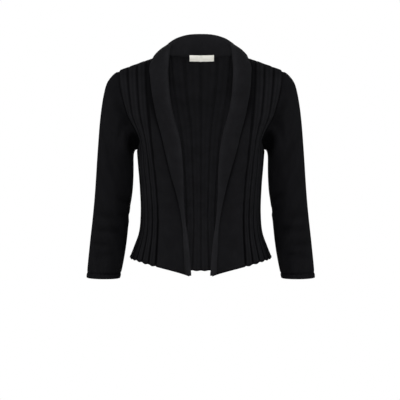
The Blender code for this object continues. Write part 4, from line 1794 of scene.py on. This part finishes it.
@dataclass
class NeckLabel:
    """The bare woven label over the seam inside the back neck, with its end stitches."""

    width: float = 60.0
    above: tuple[float, float, float] = (0.0, 0.2, 6.5)
    below: tuple[float, float, float] = (0.0, 2.6, -8.3)
    shift: float = 2.5
    gap: float = 2.0
    thickness: float = 0.7
    belly: float = 0.9
    sway: float = 0.5
    sway_shift: float = 0.6
    border: float = 1.6
    border_press: float = 0.35
    columns: int = 24
    rows: int = 8
    stitch_radius: float = 0.28
    stitch_gap: float = 0.12

    def shell(self, back: PanelForm, back_shell: Shell) -> Shell:
        """The label's wall.

        Args:
            back: the back's form.
            back_shell: the back's wall, whose neck edge carries the label.

        Returns:
            The shell.
        """
        top = back.top_row
        edge = [back_shell.inner[column, top] for column in range(-back.neck, back.neck + 1)]
        places = [point.x for point in edge]
        label = Shell()
        for column in range(self.columns + 1):
            share = column / self.columns
            x = (share - 0.5) * self.width + self.shift
            seam = spline(places, edge, x)
            towards = Vector((-seam.x / NECK_POINT.x, -1.0, 0.0)).normalized()
            for row in range(self.rows + 1):
                up = row / self.rows
                offset = Vector(self.below).lerp(Vector(self.above), up)
                out = self.belly * math.sin(math.pi * up)
                out += self.sway * math.sin(2.0 * math.pi * share + self.sway_shift)
                if min(share, 1.0 - share) * self.width < self.border:
                    out -= self.border_press
                near = seam + offset + towards * (self.gap + out)
                label.inner[column, row] = near
                label.outer[column, row] = near + towards * self.thickness
                label.chart[column, row] = (x, up * (self.above[2] - self.below[2]))
        return label

    def stitches(self, label: Shell, finish: "Finish") -> bpy.types.Object:
        """Short thread stitches down both ends of the label.

        Args:
            label: the label's shell.
            finish: the thread's finish.

        Returns:
            The piece.
        """
        mesh = bmesh.new()
        for column in (1, self.columns - 1):
            for row in range(self.rows):
                low = label.outer[column, row]
                high = label.outer[column, row + 1]
                start = low.lerp(high, self.stitch_gap)
                end = low.lerp(high, 1.0 - self.stitch_gap)
                made = bmesh.ops.create_icosphere(mesh, subdivisions=1, radius=1.0)
                turn = (end - start).to_track_quat("Z", "Y")
                half = (end - start).length / 2.0
                for vertex in made["verts"]:
                    slim = Vector((
                        vertex.co.x * self.stitch_radius,
                        vertex.co.y * self.stitch_radius,
                        vertex.co.z * half,
                    ))
                    vertex.co = ((start + end) / 2.0 + turn @ slim) * MM
        return finished_piece(mesh, "label_stitches", finish)


def linear(colour: str) -> tuple[float, float, float, float]:
    """Turn an sRGB hex colour to linear.

    Args:
        colour: the colour, such as "#1b1b1e".

    Returns:
        Red, green, blue and alpha.
    """
    parts = [int(colour[index:index + 2], 16) / 255.0 for index in (1, 3, 5)]
    red, green, blue = (
        part / 12.92 if part <= 0.04045 else ((part + 0.055) / 1.055) ** 2.4 for part in parts
    )
    return red, green, blue, 1.0


# Inputs and output of a Mix node that mixes colours
MIX_SHARE, MIX_FROM, MIX_TO, MIX_RESULT = 0, 6, 7, 2


@dataclass(frozen=True)
class Paint:
    """A material or a surround being made: its nodes, its shader and the steps that finishes share."""

    tree: bpy.types.NodeTree
    shader: bpy.types.Node

    def add(self, kind: str, inputs: dict | None = None, **settings: object) -> bpy.types.Node:
        """Add a node with its settings, values and links.

        Args:
            kind: the node's type, without the prefix that they all have.
            inputs: for each input a value, a socket, or a node whose first output it takes.
            settings: the node's own settings.

        Returns:
            The node.
        """
        node = self.tree.nodes.new("ShaderNode" + kind)
        for name, value in settings.items():
            setattr(node, name, value)
        for socket, value in (inputs or {}).items():
            source = value.outputs[0] if isinstance(value, bpy.types.Node) else value
            if isinstance(source, bpy.types.NodeSocket):
                self.tree.links.new(source, node.inputs[socket])
            else:
                node.inputs[socket].default_value = source
        return node

    def feed(self, node: bpy.types.Node, socket: str) -> None:
        """Link a node's first output to an input of the shader."""
        self.tree.links.new(node.outputs[0], self.shader.inputs[socket])

    def maths(self, operation: str, *values: object) -> bpy.types.Node:
        """Add a node that works on its values, which are numbers, nodes or sockets."""
        return self.add("Math", dict(enumerate(values)), operation=operation)

    def ranged(self, *values: object) -> bpy.types.Node:
        """Add a MapRange node: a value, the two ends of its range and the two that they become."""
        return self.add("MapRange", dict(enumerate(values)))

    def emboss(self, height: object, strength: float, depth: float) -> None:
        """Let a node's or socket's height bump the surface, by a strength and a depth in mm."""
        bump = self.add("Bump", {"Strength": strength, "Distance": depth * MM, "Height": height})
        self.feed(bump, "Normal")

    def tint(self, colour: object, tone: bpy.types.Node) -> None:
        """Take a colour, or the socket that gives it, times a tone as the surface's colour."""
        mixed = self.add("VectorMath", {0: colour, 1: tone}, operation="MULTIPLY")
        self.feed(mixed, "Base Color")


@dataclass(frozen=True)
class Finish:
    """What every finish has: its name and its main colour."""

    name: str
    colour: str
    roughness: float

    def material(self) -> bpy.types.Material:
        """The finish's material, made the first time it is asked for.

        Returns:
            The material.
        """
        made = bpy.data.materials.get(self.name)
        if made is not None:
            return made
        made = bpy.data.materials.new(self.name)
        made.use_nodes = True
        made.diffuse_color = linear(self.colour)
        shader = made.node_tree.nodes["Principled BSDF"]
        shader.inputs["Base Color"].default_value = linear(self.colour)
        shader.inputs["Roughness"].default_value = self.roughness
        self.dress(Paint(made.node_tree, shader))
        return made

    def dress(self, paint: Paint) -> None:
        """Add the finish's own nodes to its material."""


@dataclass(frozen=True)
class KnitFinish(Finish):
    """Viscose-blend jersey knitted in black: soft V stitches, a matt face and a faint bluish bloom.

    The real stitches are about 1.8 mm wide, under a pixel of the picture, so they are drawn
    wider, as coarse as it needs to show them.
    """

    # Colour of the deepest painted shade, at the bottom of grooves and folds
    painted_shade_colour: str = "#020203"
    wale: float = 2.9
    course: float = 2.3
    lean: float = 0.9
    stitch_depth: float = 0.32
    fuzz: float = 0.8
    melange: float = 34.0
    sheen: float = 0.006

    def dress(self, paint: Paint) -> None:
        """Add the stitches, the fuzz, the painted shade and light, and the uneven dye.

        Args:
            paint: the material being made.
        """
        chart = paint.add("UVMap", uv_map=CHART_LAYER).outputs["UV"]
        stitches = paint.add("Mapping", {
            "Vector": chart,
            "Scale": (1.0 / (self.wale * MM), 1.0 / (self.course * MM), 1.0),
        })
        place = paint.add("SeparateXYZ", {0: stitches})
        leg = paint.maths("PINGPONG", place, 0.5)
        slanted = paint.maths("MULTIPLY_ADD", leg, self.lean * 2.0, place.outputs[1])
        bead = paint.maths("PINGPONG", slanted, 0.5)
        turn = paint.maths("MULTIPLY", place, 2.0 * math.pi)
        wave = paint.maths("SINE", turn)
        arch = paint.maths("ABSOLUTE", wave)
        yarn = paint.maths("MULTIPLY_ADD", bead, 0.9, arch)
        fuzz = paint.add("TexNoise", {
            "Vector": chart, "Scale": 1.0 / (self.fuzz * MM), "Detail": 3.0, "Roughness": 0.6,
        })
        height = paint.maths("MULTIPLY_ADD", fuzz, 0.8, yarn)
        paint.emboss(height, 0.9, self.stitch_depth)

        # Painted shade and light from the mesh: the shade colour at 0, the knit's own colour at 1,
        # lighter above
        painted_shading = paint.add("Attribute", attribute_name=PAINTED_SHADING_LAYER)
        shade = paint.add("Mix", {
            MIX_SHARE: painted_shading.outputs["Fac"],
            MIX_FROM: linear(self.painted_shade_colour),
            MIX_TO: linear(self.colour),
        }, data_type="RGBA", clamp_factor=False)
        dye = paint.add("TexNoise", {
            "Vector": chart, "Scale": 1.0 / (self.melange * MM), "Detail": 4.0, "Roughness": 0.65,
        })
        tone = paint.ranged(dye, 0.3, 0.7, 0.82, 1.16)
        # Painted shade in the hollows between the yarn's loops and painted light on their tops, times the
        # uneven dye
        hollow = paint.ranged(yarn, 0.0, 1.2, 0.72, 1.1)
        dye_and_stitch_shade = paint.maths("MULTIPLY", tone, hollow)
        paint.tint(shade.outputs[MIX_RESULT], dye_and_stitch_shade)
        rough = paint.ranged(fuzz, 0.3, 0.7, self.roughness - 0.06, self.roughness + 0.06)
        paint.feed(rough, "Roughness")
        paint.shader.inputs["Specular IOR Level"].default_value = 0.04
        paint.shader.inputs["Sheen Weight"].default_value = self.sheen
        paint.shader.inputs["Sheen Roughness"].default_value = 0.45
        paint.shader.inputs["Sheen Tint"].default_value = linear("#c9ccd8")


@dataclass(frozen=True)
class RibbonFinish(Finish):
    """White polyester satin ribbon, woven: a soft gloss along the warp and a fine weft line.

    The real threads are about 0.2 mm apart and are drawn wider to show.
    """

    warp: float = 1.1
    weft: float = 0.8

    def dress(self, paint: Paint) -> None:
        """Add the weave.

        Args:
            paint: the material being made.
        """
        chart = paint.add("UVMap", uv_map=CHART_LAYER).outputs["UV"]
        threads = paint.add("Mapping", {
            "Vector": chart,
            "Scale": (math.pi / (self.warp * MM), math.pi / (self.weft * MM), 1.0),
        })
        place = paint.add("SeparateXYZ", {0: threads})
        warp = paint.maths("SINE", place)
        weft = paint.maths("SINE", place.outputs[1])
        weave = paint.maths("MULTIPLY", warp, weft)
        paint.emboss(weave, 0.35, 0.08)
        tone = paint.ranged(weave, -1.0, 1.0, 0.95, 1.0)
        paint.tint(linear(self.colour)[:3], tone)
        paint.shader.inputs["Sheen Weight"].default_value = 0.2


@dataclass(frozen=True)
class ThreadFinish(Finish):
    """Spun polyester sewing thread, off-white: twisted plies with a low gloss.

    `twist` is the scale of the wave that its plies follow.
    """

    twist: float = 100.0

    def dress(self, paint: Paint) -> None:
        """Add the twist of the plies.

        Args:
            paint: the material being made.
        """
        place = paint.add("TexCoord").outputs["Object"]
        plies = paint.add("TexWave", {"Vector": place, "Scale": self.twist, "Distortion": 1.0},
                          bands_direction="DIAGONAL")
        paint.emboss(plies.outputs[1], 0.5, 0.1)


@dataclass(frozen=True)
class OverlockFinish(Finish):
    """Black overlock thread over a cut knit edge: slanting loops, matt."""

    loop: float = 2.6
    slant: float = 0.35

    def dress(self, paint: Paint) -> None:
        """Add the slanting loops of thread.

        Args:
            paint: the material being made.
        """
        chart = paint.add("UVMap", uv_map=CHART_LAYER).outputs["UV"]
        loops = paint.add("Mapping", {
            "Vector": chart,
            "Rotation": (0.0, 0.0, self.slant),
            "Scale": (1.0, 1.0 / (self.loop * MM), 1.0),
        })
        place = paint.add("SeparateXYZ", {0: loops})
        loop = paint.maths("PINGPONG", place.outputs[1], 0.5)
        paint.emboss(loop, 1.0, 0.6)
        paint.shader.inputs["Specular IOR Level"].default_value = 0.15


@dataclass(frozen=True)
class FloorFinish(Finish):
    """Matt white studio paper with a faint mottle."""

    mottle: float = 0.4

    def dress(self, paint: Paint) -> None:
        """Add the mottle.

        Args:
            paint: the material being made.
        """
        place = paint.add("TexCoord").outputs["Object"]
        noise = paint.add("TexNoise", {"Vector": place, "Scale": 1.0 / self.mottle})
        tone = paint.ranged(noise, 0.0, 1.0, 0.985, 1.0)
        paint.tint(linear(self.colour)[:3], tone)


# The plain knit's colour is darker than the rib knit's, as painted shade on the sleeves, and the collar
# knit's a little lighter, as painted light
RIB_KNIT = KnitFinish("black viscose-blend rib knit", "#151517", 0.9)
PLAIN_KNIT = KnitFinish("black fine plain knit", "#111113", 0.88, wale=2.6, course=2.1)
COLLAR_KNIT = KnitFinish("black double-layer fine knit", "#161618", 0.88, wale=2.6, course=2.2)
OVERLOCK = OverlockFinish("black overlocked seam edge", "#121213", 0.9)
LABEL_RIBBON = RibbonFinish("white woven satin ribbon", "#fffdf3", 0.38)
LABEL_THREAD = ThreadFinish("off-white spun polyester thread", "#d9d6cc", 0.6)
STUDIO_PAPER = FloorFinish("white studio paper", "#f4f3f1", 0.9)


@dataclass(frozen=True)
class Lamp:
    """A soft square light: its name, where it stands, its width in metres and its power in watts."""

    name: str
    place: tuple[float, float, float]
    size: float
    power: float


# Soft light from the front and above, fill from both sides, and one behind
LAMPS = (
    Lamp("key", (0.0, -2.4, 1.4), 0.6, 33.0),
    Lamp("front fill", (0.0, -3.4, -0.1), 0.5, 34.0),
    Lamp("side left", (2.6, -0.8, 0.6), 0.9, 38.0),
    Lamp("side right", (-2.6, -0.8, 0.6), 0.9, 38.0),
    Lamp("back", (0.0, 2.8, 0.7), 2.0, 50.0),
)


@dataclass
class Studio:
    """The floor, the lights and the camera at the photograph's viewing angle."""

    floor_z: float = -1.35
    floor_size: float = 3.2
    camera_distance: float = 3.0
    camera_height: float = -0.26
    frame_width: float = 0.940
    frame_height: float = -0.336
    frame_middle: float = -0.0018
    sensor: float = 36.0
    surround_light: float = 0.06
    lit_place: Vector = field(default_factory=lambda: Vector((0.0, 0.0, -0.25)))

    def floor(self) -> bpy.types.Object:
        """A plain pale floor.

        Returns:
            The floor.
        """
        mesh = bmesh.new()
        made = bmesh.ops.create_grid(mesh, x_segments=2, y_segments=2, size=self.floor_size / 2.0)
        bmesh.ops.translate(mesh, verts=made["verts"], vec=(0.0, 0.0, self.floor_z))
        return finished_piece(mesh, "studio_floor", STUDIO_PAPER)

    def light(self, lamp: Lamp) -> None:
        """Add a lamp that points at the garment.

        Args:
            lamp: the lamp.
        """
        data = bpy.data.lights.new(lamp.name, "AREA")
        data.shape = "SQUARE"
        data.size = lamp.size
        data.energy = lamp.power
        item = bpy.data.objects.new(lamp.name, data)
        item.location = lamp.place
        item.rotation_euler = (self.lit_place - Vector(lamp.place)).to_track_quat("-Z", "Y").to_euler()
        bpy.context.collection.objects.link(item)

    def lights(self) -> None:
        """Add the lamps, and a surround that is white to the camera and dim to everything else."""
        for lamp in LAMPS:
            self.light(lamp)
        world = bpy.data.worlds.new("pale surround")
        world.use_nodes = True
        paint = Paint(world.node_tree, world.node_tree.nodes["Background"])
        path = paint.add("LightPath")
        paint.feed(paint.ranged(path.outputs["Is Camera Ray"], 0.0, 1.0, self.surround_light, 1.0),
                   "Strength")
        paint.shader.inputs["Color"].default_value = linear("#ffffff")
        bpy.context.scene.world = world
        bpy.context.scene.view_settings.view_transform = "Standard"

    def camera(self) -> None:
        """A level camera straight in front, with the small shift that the framing needs."""
        data = bpy.data.cameras.new("camera")
        data.sensor_width = self.sensor
        data.lens = self.sensor * self.camera_distance / self.frame_width
        data.shift_x = self.frame_middle
        data.shift_y = (self.frame_height - self.camera_height) / self.frame_width
        item = bpy.data.objects.new("camera", data)
        item.location = (0.0, -self.camera_distance, self.camera_height)
        item.rotation_euler = (math.pi / 2.0, 0.0, 0.0)
        bpy.context.collection.objects.link(item)
        bpy.context.scene.camera = item


@dataclass
class Cardigan:
    """The whole garment: its forms, and the pieces made from them."""

    front: PanelForm = field(default_factory=lambda: PanelForm(
        FRONT_ROWS, Facing.FRONT, ribs_above=3, ribs_below=3, plain=True
    ))
    back: PanelForm = field(default_factory=lambda: PanelForm(
        BACK_ROWS, Facing.BACK, ribs_above=7, ribs_below=4, plain=False
    ))
    pieces: dict[str, bpy.types.Object] = field(default_factory=dict)

    def add(self, shell: Shell, name: str, finish: Finish, slot: str,
            node: str | None = None) -> bpy.types.Object:
        """Make a piece, let it ride on the body and hide the solid that it replaces.

        Args:
            shell: the piece's wall.
            name: its name.
            finish: its finish.
            slot: not used.
            node: the solid that it replaces, if any.

        Returns:
            The piece.
        """
        piece = shell.make(name, finish)
        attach(piece, "root")
        if node is not None:
            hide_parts(node)
        self.pieces[name] = piece
        LOG.info("%s: %d faces", name, len(piece.data.polygons))
        return piece

    def build(self) -> None:
        """Build every piece of the garment."""
        self.front.shape()
        self.back.shape()
        front = RibbedPanel(self.front)
        back = RibbedPanel(self.back, half_line=0.35, scallop=0.8)
        fronts = {side: front.shell(FRONT_CREASES[side]) for side in Side}
        halves = {side: back.shell(BACK_CREASES, side.value) for side in Side}
        whole = whole_back(halves[Side.LEFT], halves[Side.RIGHT])
        self.add_panels(front, back, fronts, whole)
        self.add_collar(fronts, whole)
        for side in Side:
            self.add_sleeve(Body(side, self.front, fronts[side], self.back, halves[side]))
        self.add_label(whole)

    def add_panels(self, front: RibbedPanel, back: RibbedPanel, fronts: dict[Side, Shell],
                   whole: Shell) -> None:
        """Add the two fronts and the back, with their seam allowances.

        Args:
            front: how a front is knitted.
            back: how the back is knitted.
            fronts: the fronts' walls, both as on the wearer's left.
            whole: the back's wall.
        """
        allowance = SeamAllowance()
        form = self.back
        for side in Side:
            turn = int(side.value)
            shoulder = [
                allowance.reach(whole.inner, (turn * column, form.top_row), (0, -1))
                for column in range(form.neck, form.corner + 1)
            ]
            seam = [
                allowance.reach(whole.inner, (turn * form.side, row), (-turn, 0))
                for row in range(allowance.rows_free_at_hem, form.arm_row + 1)
            ]
            for word, lines in (("shoulder", shoulder), ("side", seam)):
                strip = allowance.shell(whole, lines)
                self.add(strip, f"{word}_allowance_{side.word}", OVERLOCK, "ribbed_knit")
        for side in Side:
            shell = fronts[side] if side is Side.LEFT else fronts[side].mirrored()
            piece = self.add(shell, f"front_{side.word}_knit", RIB_KNIT, "ribbed_knit",
                             f"front_{side.word}")
            width, length, area = front.flat_size()
            LOG.info("front flat %.3f x %.3f m, %.4f m2", width, length, area)
        piece = self.add(whole, "back_knit", RIB_KNIT, "ribbed_knit", "back")
        width, length, area = back.flat_size()
        LOG.info("back flat %.3f x %.3f m, %.4f m2", 2.0 * width, length, 2.0 * area)

    def add_collar(self, fronts: dict[Side, Shell], whole: Shell) -> None:
        """Add the shawl collar.

        Args:
            fronts: the fronts' walls, both as on the wearer's left.
            whole: the back's wall.
        """
        collar = ShawlCollar()
        left, right = (
            collar.half(Body(side, self.front, fronts[side], self.back, whole)) for side in Side
        )
        shell = collar.shell(left, right)
        piece = self.add(shell, "collar_knit", COLLAR_KNIT, "collar_knit", "collar")

    def add_sleeve(self, body: Body) -> None:
        """Add one sleeve, with the allowance of its armhole seam.

        Args:
            body: the front and the back that it is sewn to.
        """
        side = body.side
        sleeve = Sleeve(side)
        rims, underarm = sleeve.rims(body)
        shell = sleeve.shell(rims, underarm)
        allowance = SeamAllowance()
        lines = [allowance.reach(shell.inner, (column, 0), (0, 1)) for column in range(len(rims))]
        strip = allowance.shell(shell, lines, closed=True)
        if side is Side.RIGHT:
            shell = shell.mirrored()
            strip = strip.mirrored()
        seam = self.add(strip, f"armhole_allowance_{side.word}", OVERLOCK, "plain_knit")
        piece = self.add(shell, f"sleeve_{side.word}_knit", PLAIN_KNIT, "plain_knit",
                         f"sleeve_{side.word}")

    def add_label(self, whole: Shell) -> None:
        """Add the neck label and its stitches.

        Args:
            whole: the back's wall.
        """
        label = NeckLabel()
        shell = label.shell(self.back, whole)
        stitches = label.stitches(shell, LABEL_THREAD)
        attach(stitches, "root")
        piece = self.add(shell, "neck_label_ribbon", LABEL_RIBBON, "woven_label", "neck_label")


def main() -> None:
    """Build the garment and the studio, and report each piece."""
    logging.basicConfig(level=logging.INFO, format="%(message)s", stream=sys.stdout)
    Cardigan().build()
    studio = Studio()
    studio.floor()
    studio.lights()
    studio.camera()


if __name__ == "__main__":
    main()
